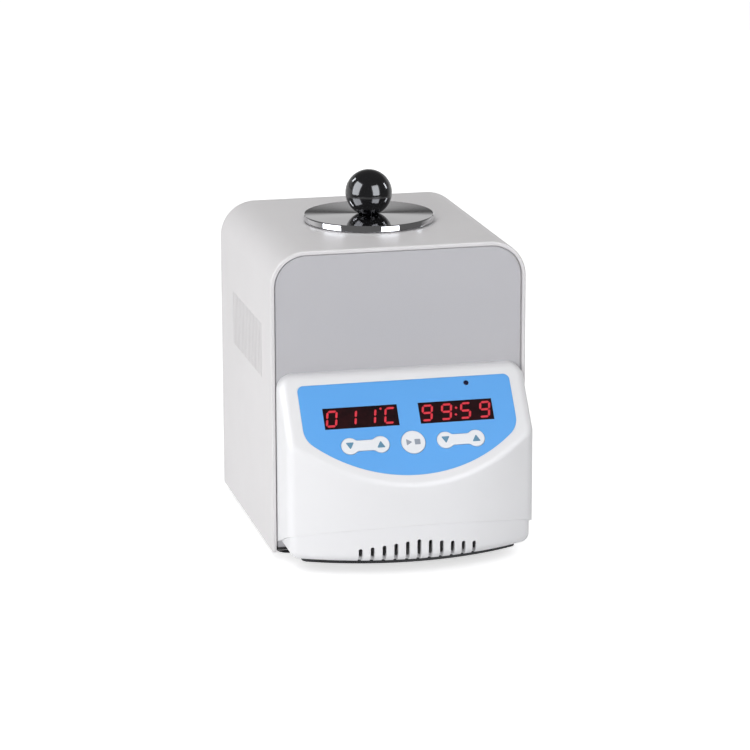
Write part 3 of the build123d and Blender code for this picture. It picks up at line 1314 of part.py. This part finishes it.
def make_console_screws():
    length = PANEL_SHEET + CONSOLE_BOSS_LENGTH - 2 * CUT
    return Compound(
        children=[
            Pos(x, depth(PANEL_BACK), z) * Rot(X=-90) * m3_screw(length) for x, z in console_boss_places()
        ]
    )


def make_bracket_screws():
    seat = PAN_TOP + BRACKET_SHEET
    return Compound(
        children=[Pos(x, y, seat) * m3_screw(BRACKET_SHEET + PAN_SHEET) for x, y in bracket_screw_places()]
    )


def make_board_screws():
    screws = [
        Pos(x, y, BOARD_TOP) * m3_screw(BOARD_THICKNESS + STANDOFF_HEIGHT - SCREW_END_SPARE)
        for x, y in standoff_places()
    ]
    screws += [
        on_facet(across, drop, BOARD_BACK) * Rot(X=180) * m3_screw(BOARD_THICKNESS + BOSS_SCREW_GRIP)
        for across, drop in board_boss_places()
    ]
    return Compound(children=screws)


NODES = {
    "cover": make_cover,
    "front_panel": make_front_panel,
    "rear_panel": make_rear_panel,
    "base_pan": make_base_pan,
    "console": make_console,
    "overlay": make_overlay,
    "temperature_display": lambda: make_display(-1),
    "time_display": lambda: make_display(1),
    "temperature_digits": lambda: make_reading(-1, "011C", [DEGREE_DOT]),
    "time_digits": lambda: make_reading(1, "9959", COLON_DOTS),
    "status_lamp": make_status_lamp,
    "temperature_key": lambda: make_rocker_key(-1),
    "time_key": lambda: make_rocker_key(1),
    "start_stop_key": make_round_key,
    "control_board": make_control_board,
    "tact_switches": make_tact_switches,
    "controller_chip": make_controller_chip,
    "board_connector": make_board_connector,
    "buzzer": make_buzzer,
    "top_ring": make_top_ring,
    "crucible": make_crucible,
    "glass_beads": make_glass_beads,
    "band_heater": make_band_heater,
    "clamp_bolt": make_clamp_bolt,
    "insulation_sleeve": make_insulation_sleeve,
    "heat_shield": make_heat_shield,
    "temperature_probe": make_temperature_probe,
    "support_bracket": make_support_bracket,
    "thermal_cutout": make_thermal_cutout,
    "lid": make_lid,
    "ball_knob": make_ball_knob,
    "knob_screw": make_knob_screw,
    "power_board": make_power_board,
    "board_standoffs": make_board_standoffs,
    "transformer": make_transformer,
    "relay": make_relay,
    "capacitor": make_capacitor,
    "terminal_block": make_terminal_block,
    "power_inlet": make_power_inlet,
    "inlet_pins": make_inlet_pins,
    "power_rocker": make_power_rocker,
    "fuse_drawer": make_fuse_drawer,
    "fuses": make_fuses,
    "base_screws": make_base_screws,
    "foot_screws": make_foot_screws,
    "rear_screws": make_rear_screws,
    "console_screws": make_console_screws,
    "bracket_screws": make_bracket_screws,
    "board_screws": make_board_screws,
}
FOOT_NAMES = ("front_left_foot", "front_right_foot", "rear_left_foot", "rear_right_foot")


os.makedirs("parts", exist_ok=True)
for name, make in NODES.items():
    export_step(make(), f"parts/{name}.step")
for name, place in zip(FOOT_NAMES, foot_places()):
    export_step(make_foot(place), f"parts/{name}.step")
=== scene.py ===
import json
import math

import bmesh
import bpy
from mathutils import Matrix, Vector


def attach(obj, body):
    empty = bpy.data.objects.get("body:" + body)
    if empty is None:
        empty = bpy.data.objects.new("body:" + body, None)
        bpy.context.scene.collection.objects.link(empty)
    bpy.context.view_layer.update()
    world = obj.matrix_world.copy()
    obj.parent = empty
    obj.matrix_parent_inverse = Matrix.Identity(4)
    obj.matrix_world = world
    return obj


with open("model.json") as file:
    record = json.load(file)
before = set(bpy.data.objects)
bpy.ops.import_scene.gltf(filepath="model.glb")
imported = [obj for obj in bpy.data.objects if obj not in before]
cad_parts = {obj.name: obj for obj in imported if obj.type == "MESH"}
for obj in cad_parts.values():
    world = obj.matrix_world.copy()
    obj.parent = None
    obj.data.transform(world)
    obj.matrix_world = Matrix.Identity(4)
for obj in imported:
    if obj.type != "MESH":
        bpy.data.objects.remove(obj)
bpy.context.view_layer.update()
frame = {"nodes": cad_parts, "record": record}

# Places that repeat the CAD's named sizes, in metres
FACET_ANGLE = math.radians(38.0)
FACET_ORIGIN = Vector((0.0, -0.0682112, 0.1154))
FACET_ACROSS = Vector((1.0, 0.0, 0.0))
FACET_UP = Vector((0.0, math.sin(FACET_ANGLE), math.cos(FACET_ANGLE)))
FACET_OUT = Vector((0.0, -math.cos(FACET_ANGLE), math.sin(FACET_ANGLE)))
KEY_DROP = 0.0424
KEY_TOP = 0.0005
ROCKER_KEY_OFFSET = 0.0306
ROCKER_KEY_END_OFFSET = 0.0098
WELL_CENTRE = Vector((0.0, 0.0249888, 0.0))
ROCKER_PIVOT = Vector((-0.044, 0.1054888, 0.0645))
ROCKER_ANGLE = math.radians(10.0)
ROCKER_PIVOT_DEPTH = 0.0035

# Printed marks, in metres, and the steps of their curves
PRINT_THICKNESS = 0.00005
ARROW_HALF_WIDTH = 0.0027
ARROW_HALF_HEIGHT = 0.0023
ARROW_CORNER = 0.0004
SIGN_HALF_GAP = 0.0008
START_REACH = 0.0045
START_HALF_HEIGHT = 0.0022
STOP_REACH = 0.0044
STOP_HALF_HEIGHT = 0.0018
SIGN_CORNER = 0.0003
OFF_RING_RADIUS = 0.0019
OFF_RING_HOLE_RADIUS = 0.0014
ON_BAR_HALF_WIDTH = 0.00025
ON_BAR_HALF_HEIGHT = 0.0019
ON_BAR_CORNER = 0.0001
ROCKER_MARK_OFFSET = 0.0058
CORNER_STEPS = 6
RING_STEPS = 40

# The photograph's camera, found from the cover's edges, in degrees, metres and millimetres
CAMERA_AZIMUTH = -13.34
CAMERA_ELEVATION = 14.48
CAMERA_ROLL = -0.15
CAMERA_DISTANCE = 2.10895
CAMERA_TARGET = Vector((0.00554, 0.0319888, 0.09316))
CAMERA_LENS = 153.6
SENSOR_WIDTH = 36.0
CAMERA_FAR_LIMIT = 50.0

# Floor and studio: sizes in metres, and levels where one is white
FLOOR_WIDTH = 16.0
FLOOR_COLOUR = (0.9, 0.9, 0.905, 1.0)
FLOOR_GLOW = 0.6
SKY_LIGHT = 0.45
LIGHT_TARGET = Vector((0.0, 0.0, 0.1))
CARD_COLOUR = (0.92, 0.95, 1.0, 1.0)
BLACK = (0.0, 0.0, 0.0, 1.0)
WHITE = (1.0, 1.0, 1.0, 1.0)

# What mirrors show behind the object, by the sine of the height above the horizon
BACKDROP_LEVELS = (
    (0.0, 0.8),
    (0.1, 0.8),
    (0.16, 0.42),
    (0.186, 0.16),
    (0.198, 0.03),
    (0.208, 0.66),
    (0.28, 0.5),
    (0.5, 0.15),
    (1.0, 0.1207),
)
# It is full in directions that point this far backwards, and fades to the studio's level at the sides
BACKDROP_FULL = 0.6
STUDIO_LEVEL = 0.15

# Lamps: azimuth and elevation in degrees, distance, width and height in metres, power in watts
SOFTBOXES = {
    "front_light": (-38.0, 10.0, 2.4, 1.8, 0.6, 21.5),
    "top_light": (-95.0, 68.0, 0.6, 0.3, 0.3, 0.75),
    "right_light": (25.0, 32.0, 2.1, 1.4, 1.7, 5.0),
    "back_light": (145.0, 8.0, 2.2, 1.6, 0.8, 12.0),
    "low_light": (-88.0, -11.0, 0.36, 0.4, 0.05, 0.2),
}

# Cards for reflections: the same places and sizes, and brightness
CARDS = {
    "left_window": (-82.0, 23.0, 2.1, 1.5, 2.1, 6.0),
    "right_window": (25.0, 20.0, 2.1, 1.25, 1.8, 6.0),
    "rear_left_window": (-137.0, 34.0, 2.1, 0.3, 0.5, 10.0),
    "right_side_window": (92.0, 22.0, 2.1, 0.25, 0.7, 10.0),
    "dark_card": (166.0, -12.0, 2.1, 1.1, 0.75, 0.0),
}


# Stretch of a texture: none, and fine lines that lie flat
EVEN = (1.0, 1.0, 1.0)
DRAWN = (1.0, 1.0, 40.0)


# Node helpers

def srgb(red, green, blue):
    """Linear colour of an 8-bit screen colour, by the sRGB curve."""
    linear = []
    for value in (red, green, blue):
        share = value / 255
        linear.append(share / 12.92 if share <= 0.04045 else ((share + 0.055) / 1.055) ** 2.4)
    return (*linear, 1.0)


def shade(colour, factor):
    """The same colour, darker below one and lighter above it."""
    return (*(min(1.0, channel * factor) for channel in colour[:3]), 1.0)


class Finish:
    """A Principled material and the few texture nodes that drive it, in metres of the shared frame."""

    def __init__(self, name, roughness, **sockets):
        self.material = bpy.data.materials.new(name)
        self.material.use_nodes = True
        self.tree = self.material.node_tree
        self.shader = self.tree.nodes["Principled BSDF"]
        self.roughness = roughness
        self.shader.inputs["Roughness"].default_value = roughness
        for socket, value in sockets.items():
            self.shader.inputs[socket.replace("_", " ")].default_value = value
        self.relief = None

    def node(self, kind, **settings):
        made = self.tree.nodes.new(kind)
        for key, value in settings.items():
            setattr(made, key, value)
        return made

    def link(self, output, socket):
        self.tree.links.new(output, socket)

    def coordinates(self, stretch=EVEN, centre=(0.0, 0.0, 0.0)):
        """Metres from the centre, times the stretch."""
        source = self.node("ShaderNodeTexCoord")
        mapping = self.node("ShaderNodeMapping")
        mapping.inputs["Scale"].default_value = stretch
        mapping.inputs["Location"].default_value = [-place * scale for place, scale in zip(centre, stretch)]
        self.link(source.outputs["Object"], mapping.inputs["Vector"])
        return mapping.outputs["Vector"]

    def noise(self, per_metre, detail=3.0, stretch=EVEN):
        """Soft uneven spots, about this many to the metre."""
        texture = self.node("ShaderNodeTexNoise")
        texture.inputs["Scale"].default_value = per_metre
        texture.inputs["Detail"].default_value = detail
        self.link(self.coordinates(stretch), texture.inputs["Vector"])
        return texture.outputs["Fac"]

    def cells(self, per_metre, feature="F1", output="Distance", stretch=EVEN):
        """Packed cells, about this many to the metre."""
        texture = self.node("ShaderNodeTexVoronoi", feature=feature)
        texture.inputs["Scale"].default_value = per_metre
        self.link(self.coordinates(stretch), texture.inputs["Vector"])
        return texture.outputs[output]

    def rings(self, scale, centre):
        """Fine uneven circles round an upright axis, as a lathe leaves them."""
        texture = self.node("ShaderNodeTexWave", wave_type="RINGS", rings_direction="Z")
        texture.inputs["Scale"].default_value = scale
        texture.inputs["Distortion"].default_value = 0.6
        texture.inputs["Detail"].default_value = 3.0
        self.link(self.coordinates(centre=centre), texture.inputs["Vector"])
        return texture.outputs["Fac"]

    def cone(self, radius, centre):
        """One on an upright axis, and evenly less out to nought at this radius."""
        texture = self.node("ShaderNodeTexGradient", gradient_type="SPHERICAL")
        self.link(self.coordinates((1.0 / radius, 1.0 / radius, 0.0), centre), texture.inputs["Vector"])
        return texture.outputs["Fac"]

    def rise(self):
        """Height above the floor in metres."""
        parts = self.node("ShaderNodeSeparateXYZ")
        self.link(self.coordinates(), parts.inputs["Vector"])
        return parts.outputs["Z"]

    def colour(self, pattern, low, high, start=0.3, end=0.7):
        """A colour that goes from low to high as the pattern goes from start to end."""
        ramp = self.node("ShaderNodeValToRGB")
        first, last = ramp.color_ramp.elements
        first.position, first.color = start, low
        last.position, last.color = end, high
        self.link(pattern, ramp.inputs["Fac"])
        self.link(ramp.outputs["Color"], self.shader.inputs["Base Color"])
        return self

    def vary_roughness(self, pattern, below, above):
        """Roughness from this much below the plain value to this much above it."""
        spread = self.node("ShaderNodeMapRange")
        spread.inputs["To Min"].default_value = self.roughness - below
        spread.inputs["To Max"].default_value = self.roughness + above
        self.link(pattern, spread.inputs["Value"])
        self.link(spread.outputs["Result"], self.shader.inputs["Roughness"])
        return self

    def bump(self, pattern, height):
        """Relief of this height in metres, on top of any relief that is there already."""
        made = self.node("ShaderNodeBump")
        made.inputs["Strength"].default_value = 1.0
        made.inputs["Distance"].default_value = height
        self.link(pattern, made.inputs["Height"])
        if self.relief is not None:
            self.link(self.relief, made.inputs["Normal"])
        self.relief = made.outputs["Normal"]
        self.link(self.relief, self.shader.inputs["Normal"])
        return self


# Finishes

def painted(name, colour, roughness):
    """Stoved paint: fine orange peel, and a little unevenness of gloss and tone."""
    finish = Finish(name, roughness)
    finish.colour(finish.noise(per_metre=9.0), shade(colour, 0.985), shade(colour, 1.015))
    finish.vary_roughness(finish.noise(per_metre=60.0), below=0.04, above=0.06)
    finish.bump(finish.noise(per_metre=650.0, detail=2.0), height=0.00001)
    return finish.bump(finish.noise(per_metre=2600.0, detail=1.0), height=0.000003)


def moulded(name, colour, roughness):
    """Injection-moulded plastic with a fine eroded grain."""
    finish = Finish(name, roughness)
    finish.colour(finish.noise(per_metre=14.0), shade(colour, 0.985), shade(colour, 1.01))
    finish.vary_roughness(finish.noise(per_metre=220.0), below=0.05, above=0.06)
    return finish.bump(finish.noise(per_metre=3000.0, detail=2.0), height=0.000006)


def metal(name, colour, roughness, scratches, stretch):
    """Metal with fine scratches of this height, closer together along the stretched axis."""
    finish = Finish(name, roughness, Metallic=1.0)
    finish.colour(finish.noise(per_metre=30.0), shade(colour, 0.93), shade(colour, 1.04))
    wear = finish.noise(per_metre=90.0, detail=4.0, stretch=stretch)
    finish.vary_roughness(wear, below=roughness * 0.25, above=roughness * 0.35)
    return finish.bump(finish.noise(per_metre=140.0, detail=5.0, stretch=stretch), height=scratches)


def turned_steel():
    """Stainless steel faced on a lathe: a very shallow cone, edges eased upwards, with fine circles."""
    finish = Finish("turned_steel", roughness=0.05, Metallic=1.0)
    steel = srgb(206, 205, 207)
    edge_lean = -0.14
    finish.colour(finish.noise(per_metre=40.0), shade(steel, 0.96), shade(steel, 1.03))
    finish.vary_roughness(finish.noise(per_metre=500.0, detail=4.0), below=0.03, above=0.01)
    finish.bump(finish.cone(radius=0.1, centre=WELL_CENTRE), height=0.002)
    finish.bump(finish.rise(), height=edge_lean)
    return finish.bump(finish.rings(scale=900.0, centre=WELL_CENTRE), height=0.0000006)


def film(name, colour, roughness):
    """Smooth lacquer or ink, as on a printed film, a lens or a sleeve."""
    finish = Finish(name, roughness)
    finish.colour(finish.noise(per_metre=8.0), shade(colour, 0.97), shade(colour, 1.03))
    finish.vary_roughness(finish.noise(per_metre=700.0), below=0.05, above=0.05)
    return finish.bump(finish.noise(per_metre=1800.0, detail=2.0), height=0.000003)


def display_filter():
    """Dark red filter with little shine, a little uneven from what is behind it."""
    finish = Finish("display_filter", roughness=0.22, Specular_IOR_Level=0.2)
    finish.colour(finish.noise(per_metre=160.0), srgb(22, 9, 12), srgb(44, 14, 18))
    return finish.bump(finish.noise(per_metre=900.0, detail=1.0), height=0.000002)


def lit_segment():
    """Red segment that glows a little."""
    red = srgb(212, 40, 58)
    finish = Finish("lit_segment", roughness=0.35, Emission_Color=srgb(236, 30, 52), Emission_Strength=0.14)
    return finish.colour(finish.noise(per_metre=400.0), shade(red, 0.9), shade(red, 1.1))


def gloss_black():
    """Polished black resin, slightly uneven."""
    finish = Finish("knob_plastic", roughness=0.1, IOR=1.75)
    finish.colour(finish.noise(per_metre=50.0), srgb(6, 6, 8), srgb(14, 14, 17))
    finish.vary_roughness(finish.noise(per_metre=350.0), below=0.03, above=0.06)
    return finish.bump(finish.noise(per_metre=120.0, detail=1.0), height=0.000006)


def circuit_board():
    """Green lacquer with slightly raised tracks under it."""
    finish = Finish("circuit_board", roughness=0.28)
    tracks = finish.cells(per_metre=260.0, feature="DISTANCE_TO_EDGE", stretch=(1.0, 0.35, 1.0))
    finish.colour(tracks, srgb(36, 108, 58), srgb(16, 74, 36), start=0.03, end=0.08)
    return finish.bump(tracks, height=0.00002)


def bead_glass():
    """Packed glass beads, each about 1.5 millimetres."""
    finish = Finish("bead_glass", roughness=0.06, Transmission_Weight=0.35, IOR=1.5)
    beads = finish.cells(per_metre=650.0)
    # Pale in each bead's middle and greyer at its edge: painted shade between the beads.
    finish.colour(beads, srgb(232, 240, 240), srgb(150, 164, 166), start=0.2, end=0.75)
    return finish.bump(beads, height=-0.0008)


def mineral_fibre():
    """Pale matted strands that lie flat."""
    finish = Finish("mineral_fibre", roughness=0.95)
    strands = finish.noise(per_metre=420.0, detail=6.0, stretch=(1.0, 1.0, 6.0))
    finish.colour(strands, srgb(196, 188, 166), srgb(232, 228, 214))
    return finish.bump(strands, height=0.0005)


def zinc_sheet():
    """Galvanised sheet with its spangle."""
    finish = Finish("zinc_sheet", roughness=0.36, Metallic=1.0)
    spangle = finish.cells(per_metre=130.0, output="Color")
    finish.colour(spangle, srgb(150, 154, 160), srgb(190, 193, 198), start=0.1, end=0.9)
    return finish.vary_roughness(finish.noise(per_metre=200.0), below=0.08, above=0.09)


def rubber():
    """Dull black rubber with a fine grain."""
    finish = Finish("foot_rubber", roughness=0.75)
    finish.colour(finish.noise(per_metre=200.0), srgb(22, 22, 23), srgb(38, 38, 39))
    return finish.bump(finish.noise(per_metre=1500.0, detail=4.0), height=0.00003)


def laminations():
    """Stacked core sheets of a transformer, with their wound coil."""
    finish = Finish("laminations", roughness=0.5)
    sheets = finish.noise(per_metre=3.0, detail=1.0, stretch=(1.0, 400.0, 1.0))
    finish.colour(sheets, srgb(44, 44, 48), srgb(96, 92, 88), start=0.4, end=0.6)
    return finish.bump(sheets, height=0.00004)


def fuse_glass():
    """Clear tube, a little clouded."""
    finish = Finish("fuse_glass", roughness=0.08, Transmission_Weight=0.5, IOR=1.47)
    return finish.colour(finish.noise(per_metre=60.0), srgb(196, 204, 206), srgb(226, 232, 232))


# The finish of each material slot, with its colour and plain roughness where several share a kind
FINISHES = {
    "cover_paint": painted("cover_paint", srgb(221, 219, 220), 0.38),
    "panel_paint": painted("panel_paint", srgb(187, 186, 190), 0.42),
    # Dark grey of the base pan: its own paint, and also painted shade that stands for the shadow under the
    # console.
    "pan_paint": painted("pan_paint", srgb(48, 48, 50), 0.45),
    "console_plastic": moulded("console_plastic", srgb(236, 236, 238), 0.42),
    "overlay_film": film("overlay_film", srgb(94, 173, 246), 0.34),
    "display_face": display_filter(),
    "digit_light": lit_segment(),
    "lamp_lens": film("lamp_lens", srgb(16, 18, 52), 0.2),
    "key_plastic": moulded("key_plastic", srgb(240, 242, 246), 0.34),
    "board_laminate": circuit_board(),
    "component_black": moulded("component_black", srgb(34, 34, 36), 0.5),
    "polished_steel": turned_steel(),
    "steel": metal("steel", srgb(176, 176, 178), 0.28, scratches=0.000002, stretch=DRAWN),
    "bead_glass": bead_glass(),
    "fibre": mineral_fibre(),
    "zinc_sheet": zinc_sheet(),
    "knob_plastic": gloss_black(),
    "fastener_steel": metal("fastener_steel", srgb(190, 190, 192), 0.22, scratches=0.000001, stretch=EVEN),
    "core_steel": laminations(),
    "relay_case": film("relay_case", srgb(38, 72, 150), 0.25),
    "capacitor_can": film("capacitor_can", srgb(44, 46, 54), 0.22),
    "terminal_green": moulded("terminal_green", srgb(58, 138, 84), 0.4),
    "inlet_plastic": moulded("inlet_plastic", srgb(32, 32, 34), 0.42),
    "fuse_glass": fuse_glass(),
    "foot_rubber": rubber(),
}

for part in frame["record"]["subparts"]:
    cad_node = frame["nodes"][part["node"]]
    cad_node.data.materials.clear()
    cad_node.data.materials.append(FINISHES[part["material_slot"]].material)


# Printed marks on the keys and the rocker

PRINT_BLUE = film("print_blue", srgb(92, 142, 172), 0.4).material
PRINT_GREY = film("print_grey", srgb(150, 158, 172), 0.4).material
PRINT_WHITE = film("print_white", srgb(226, 226, 222), 0.45).material


def printed(name, outlines, place, material, body):
    """Thin raised ink inside these closed outlines, which lie in metres on the place's plane."""
    mesh = bpy.data.meshes.new(name)
    shape = bmesh.new()
    for outline in outlines:
        face = shape.faces.new([shape.verts.new((x, y, 0.0)) for x, y in outline])
        raised = bmesh.ops.extrude_face_region(shape, geom=[face])
        moved = [item for item in raised["geom"] if isinstance(item, bmesh.types.BMVert)]
        bmesh.ops.translate(shape, verts=moved, vec=(0.0, 0.0, PRINT_THICKNESS))
    bmesh.ops.recalc_face_normals(shape, faces=shape.faces)
    shape.to_mesh(mesh)
    shape.free()
    mesh.transform(place)
    mesh.materials.append(material)
    piece = bpy.data.objects.new(name, mesh)
    bpy.context.scene.collection.objects.link(piece)
    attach(piece, body)


def rounded(corners, radius):
    """A polygon with each corner replaced by a small arc of points."""
    outline = []
    count = len(corners)
    for number, corner in enumerate(corners):
        here = Vector(corner)
        before = (Vector(corners[number - 1]) - here).normalized()
        after = (Vector(corners[(number + 1) % count]) - here).normalized()
        half = before.angle(after) / 2
        reach = radius / math.tan(half)
        start, end = here + before * reach, here + after * reach
        centre = here + (before + after).normalized() * (radius / math.sin(half))
        for step in range(CORNER_STEPS + 1):
            point = start.lerp(end, step / CORNER_STEPS)
            outline.append(centre + (point - centre).normalized() * radius)
    return [(point.x, point.y) for point in outline]


def arrow(direction):
    """A triangle that points up at one and down at minus one."""
    half, rise = ARROW_HALF_WIDTH, ARROW_HALF_HEIGHT * direction
    corners = [(-half, -rise), (half, -rise), (0.0, rise)]
    if direction < 0:
        corners.reverse()
    return rounded(corners, ARROW_CORNER)


def bar(left, right, half_height, radius):
    """An upright rectangle with rounded corners."""
    corners = [(left, -half_height), (right, -half_height), (right, half_height), (left, half_height)]
    return rounded(corners, radius)


def ring(outer, inner):
    """A ring as one closed outline with a hairline cut, so that it extrudes as a single face."""
    slit = math.radians(0.5)
    turns = [slit + (2 * math.pi - 2 * slit) * step / RING_STEPS for step in range(RING_STEPS + 1)]
    outside = [(outer * math.cos(turn), outer * math.sin(turn)) for turn in turns]
    inside = [(inner * math.cos(turn), inner * math.sin(turn)) for turn in reversed(turns)]
    return outside + inside


def facet_place(across, drop, level):
    """Place on the facet: local X across it, Y up it and Z out of it."""
    origin = FACET_ORIGIN + FACET_ACROSS * across - FACET_UP * drop + FACET_OUT * level
    return Matrix.Translation(origin) @ Matrix((FACET_ACROSS, FACET_UP, FACET_OUT)).transposed().to_4x4()


def rocker_place(side, along):
    """Place on one of the rocker's two faces: local Z out of it, Y up."""
    slope = side * ROCKER_ANGLE
    turn = Matrix.Rotation(ROCKER_ANGLE, 4, "Z")
    local = Vector((side * along, ROCKER_PIVOT_DEPTH + along * math.tan(ROCKER_ANGLE), 0.0))
    across = Vector((-math.cos(slope), -math.sin(slope), 0.0))
    up = Vector((0.0, 0.0, 1.0))
    out = Vector((-math.sin(slope), math.cos(slope), 0.0))
    axes = Matrix((across, up, out)).transposed().to_4x4()
    return Matrix.Translation(ROCKER_PIVOT) @ turn @ Matrix.Translation(local) @ axes


for key, side in (("temperature_key", -1), ("time_key", 1)):
    for end, label in ((-1, "down"), (1, "up")):
        across = side * ROCKER_KEY_OFFSET + end * ROCKER_KEY_END_OFFSET
        place = facet_place(across, KEY_DROP, KEY_TOP)
        printed(f"{key}_{label}_mark", [arrow(end)], place, PRINT_BLUE, key)

START_CORNERS = [
    (-START_REACH, -START_HALF_HEIGHT),
    (-SIGN_HALF_GAP, 0.0),
    (-START_REACH, START_HALF_HEIGHT),
]
START_MARK = rounded(START_CORNERS, SIGN_CORNER)
STOP_MARK = bar(SIGN_HALF_GAP, STOP_REACH, STOP_HALF_HEIGHT, SIGN_CORNER)
KEY_MIDDLE = facet_place(0.0, KEY_DROP, KEY_TOP)
printed("start_stop_marks", [START_MARK, STOP_MARK], KEY_MIDDLE, PRINT_GREY, "start_stop_key")

OFF_MARK = ring(OFF_RING_RADIUS, OFF_RING_HOLE_RADIUS)
ON_MARK = bar(-ON_BAR_HALF_WIDTH, ON_BAR_HALF_WIDTH, ON_BAR_HALF_HEIGHT, ON_BAR_CORNER)
for name, mark, side in (("rocker_off_mark", OFF_MARK, 1), ("rocker_on_mark", ON_MARK, -1)):
    place = rocker_place(side, ROCKER_MARK_OFFSET)
    printed(name, [mark], place, PRINT_WHITE, "power_rocker")


# Floor, light and camera

def grey(level):
    """A grey from nought, black, to one, white."""
    return (level, level, level, 1.0)


def plane_mesh(name, width, height):
    """A flat upward rectangle round the origin."""
    mesh = bpy.data.meshes.new(name)
    x, y = width / 2, height / 2
    mesh.from_pydata([(-x, -y, 0), (x, -y, 0), (x, y, 0), (-x, y, 0)], [], [(0, 1, 2, 3)])
    return mesh


def larger(tree, first, second):
    """The larger of two outputs."""
    choice = tree.nodes.new("ShaderNodeMath")
    choice.operation = "MAXIMUM"
    tree.links.new(first, choice.inputs[0])
    tree.links.new(second, choice.inputs[1])
    return choice.outputs["Value"]


def seen_directly(tree):
    """One for rays from the camera, from mirrors and through glass, and nought for soft light."""
    paths = tree.nodes.new("ShaderNodeLightPath").outputs
    seen = larger(tree, paths["Is Camera Ray"], paths["Is Glossy Ray"])
    return larger(tree, seen, paths["Is Transmission Ray"])


def make_floor():
    """Pale floor that keeps the shadow, lifted to white where it is seen."""
    mesh = plane_mesh("floor", FLOOR_WIDTH, FLOOR_WIDTH)
    floor = bpy.data.objects.new("floor", mesh)
    floor.visible_glossy = False
    bpy.context.scene.collection.objects.link(floor)
    finish = Finish("floor", roughness=0.9, Base_Color=FLOOR_COLOUR, Emission_Color=WHITE)
    glow = finish.node("ShaderNodeMath", operation="MULTIPLY")
    glow.inputs[1].default_value = FLOOR_GLOW
    finish.link(seen_directly(finish.tree), glow.inputs[0])
    finish.link(glow.outputs["Value"], finish.shader.inputs["Emission Strength"])
    mesh.materials.append(finish.material)


def make_world():
    """White for the camera, softer as a light, and a dim studio with a pale backdrop in mirrors."""
    world = bpy.data.worlds.new("studio")
    world.use_nodes = True
    bpy.context.scene.world = world
    tree = world.node_tree
    background = tree.nodes["Background"]
    background.inputs["Color"].default_value = WHITE
    direction = tree.nodes.new("ShaderNodeTexCoord")
    parts = tree.nodes.new("ShaderNodeSeparateXYZ")
    tree.links.new(direction.outputs["Generated"], parts.inputs["Vector"])
    backdrop = tree.nodes.new("ShaderNodeValToRGB")
    stops = backdrop.color_ramp.elements
    stops.remove(stops[1])
    stops[0].color = grey(BACKDROP_LEVELS[0][1])
    for place, level in BACKDROP_LEVELS[1:]:
        stops.new(place).color = grey(level)
    tree.links.new(parts.outputs["Z"], backdrop.inputs["Fac"])
    behind = tree.nodes.new("ShaderNodeMapRange")
    behind.inputs["From Max"].default_value = BACKDROP_FULL
    behind.inputs["To Min"].default_value = STUDIO_LEVEL
    tree.links.new(parts.outputs["Y"], behind.inputs["Value"])
    tree.links.new(backdrop.outputs["Color"], behind.inputs["To Max"])
    paths = tree.nodes.new("ShaderNodeLightPath")
    white = larger(tree, paths.outputs["Is Camera Ray"], behind.outputs["Result"])
    strength = tree.nodes.new("ShaderNodeMapRange")
    strength.inputs["To Min"].default_value = SKY_LIGHT
    tree.links.new(white, strength.inputs["To Max"])
    tree.links.new(seen_directly(tree), strength.inputs["Value"])
    tree.links.new(strength.outputs["Result"], background.inputs["Strength"])


def direction_from(azimuth, elevation):
    """Unit vector from the object: azimuth in degrees from the front towards the right."""
    turn, rise = math.radians(azimuth), math.radians(elevation)
    return Vector((math.sin(turn) * math.cos(rise), -math.cos(turn) * math.cos(rise), math.sin(rise)))


def place_facing(thing, azimuth, elevation, distance):
    """Put a lamp or card there, facing the object."""
    towards = direction_from(azimuth, elevation)
    thing.location = LIGHT_TARGET + towards * distance
    thing.rotation_euler = towards.to_track_quat("Z", "Y").to_euler()
    bpy.context.scene.collection.objects.link(thing)


def make_softbox(name, azimuth, elevation, distance, width, height, power):
    """A lamp for soft light alone, which neither mirrors nor the camera show."""
    light = bpy.data.lights.new(name, "AREA")
    light.shape = "RECTANGLE"
    light.size, light.size_y = width, height
    light.energy = power
    lamp = bpy.data.objects.new(name, light)
    lamp.visible_glossy = False
    lamp.visible_camera = False
    place_facing(lamp, azimuth, elevation, distance)


def make_card(name, azimuth, elevation, distance, width, height, brightness):
    """A card that only mirrors and glass show: a studio window, or a dark screen at no brightness."""
    mesh = plane_mesh(name, width, height)
    finish = Finish(
        name,
        roughness=1.0,
        Base_Color=BLACK,
        Emission_Color=CARD_COLOUR,
        Emission_Strength=brightness,
    )
    mesh.materials.append(finish.material)
    card = bpy.data.objects.new(name, mesh)
    card.visible_camera = False
    card.visible_diffuse = False
    card.visible_shadow = False
    place_facing(card, azimuth, elevation, distance)


def make_camera():
    """The photograph's camera, with its slight roll."""
    data = bpy.data.cameras.new("camera")
    data.lens = CAMERA_LENS
    data.sensor_width = SENSOR_WIDTH
    data.clip_end = CAMERA_FAR_LIMIT
    camera = bpy.data.objects.new("camera", data)
    azimuth, roll = math.radians(CAMERA_AZIMUTH), math.radians(CAMERA_ROLL)
    back = direction_from(CAMERA_AZIMUTH, CAMERA_ELEVATION)
    level = Vector((math.cos(azimuth), math.sin(azimuth), 0.0))
    upright = back.cross(level)
    right = level * math.cos(roll) + upright * math.sin(roll)
    up = upright * math.cos(roll) - level * math.sin(roll)
    turn = Matrix((right, up, back)).transposed().to_4x4()
    camera.matrix_world = Matrix.Translation(CAMERA_TARGET + back * CAMERA_DISTANCE) @ turn
    bpy.context.scene.collection.objects.link(camera)
    bpy.context.scene.camera = camera


make_floor()
make_world()
for name, settings in SOFTBOXES.items():
    make_softbox(name, *settings)
for name, settings in CARDS.items():
    make_card(name, *settings)
make_camera()
bpy.context.scene.view_settings.view_transform = "Standard"
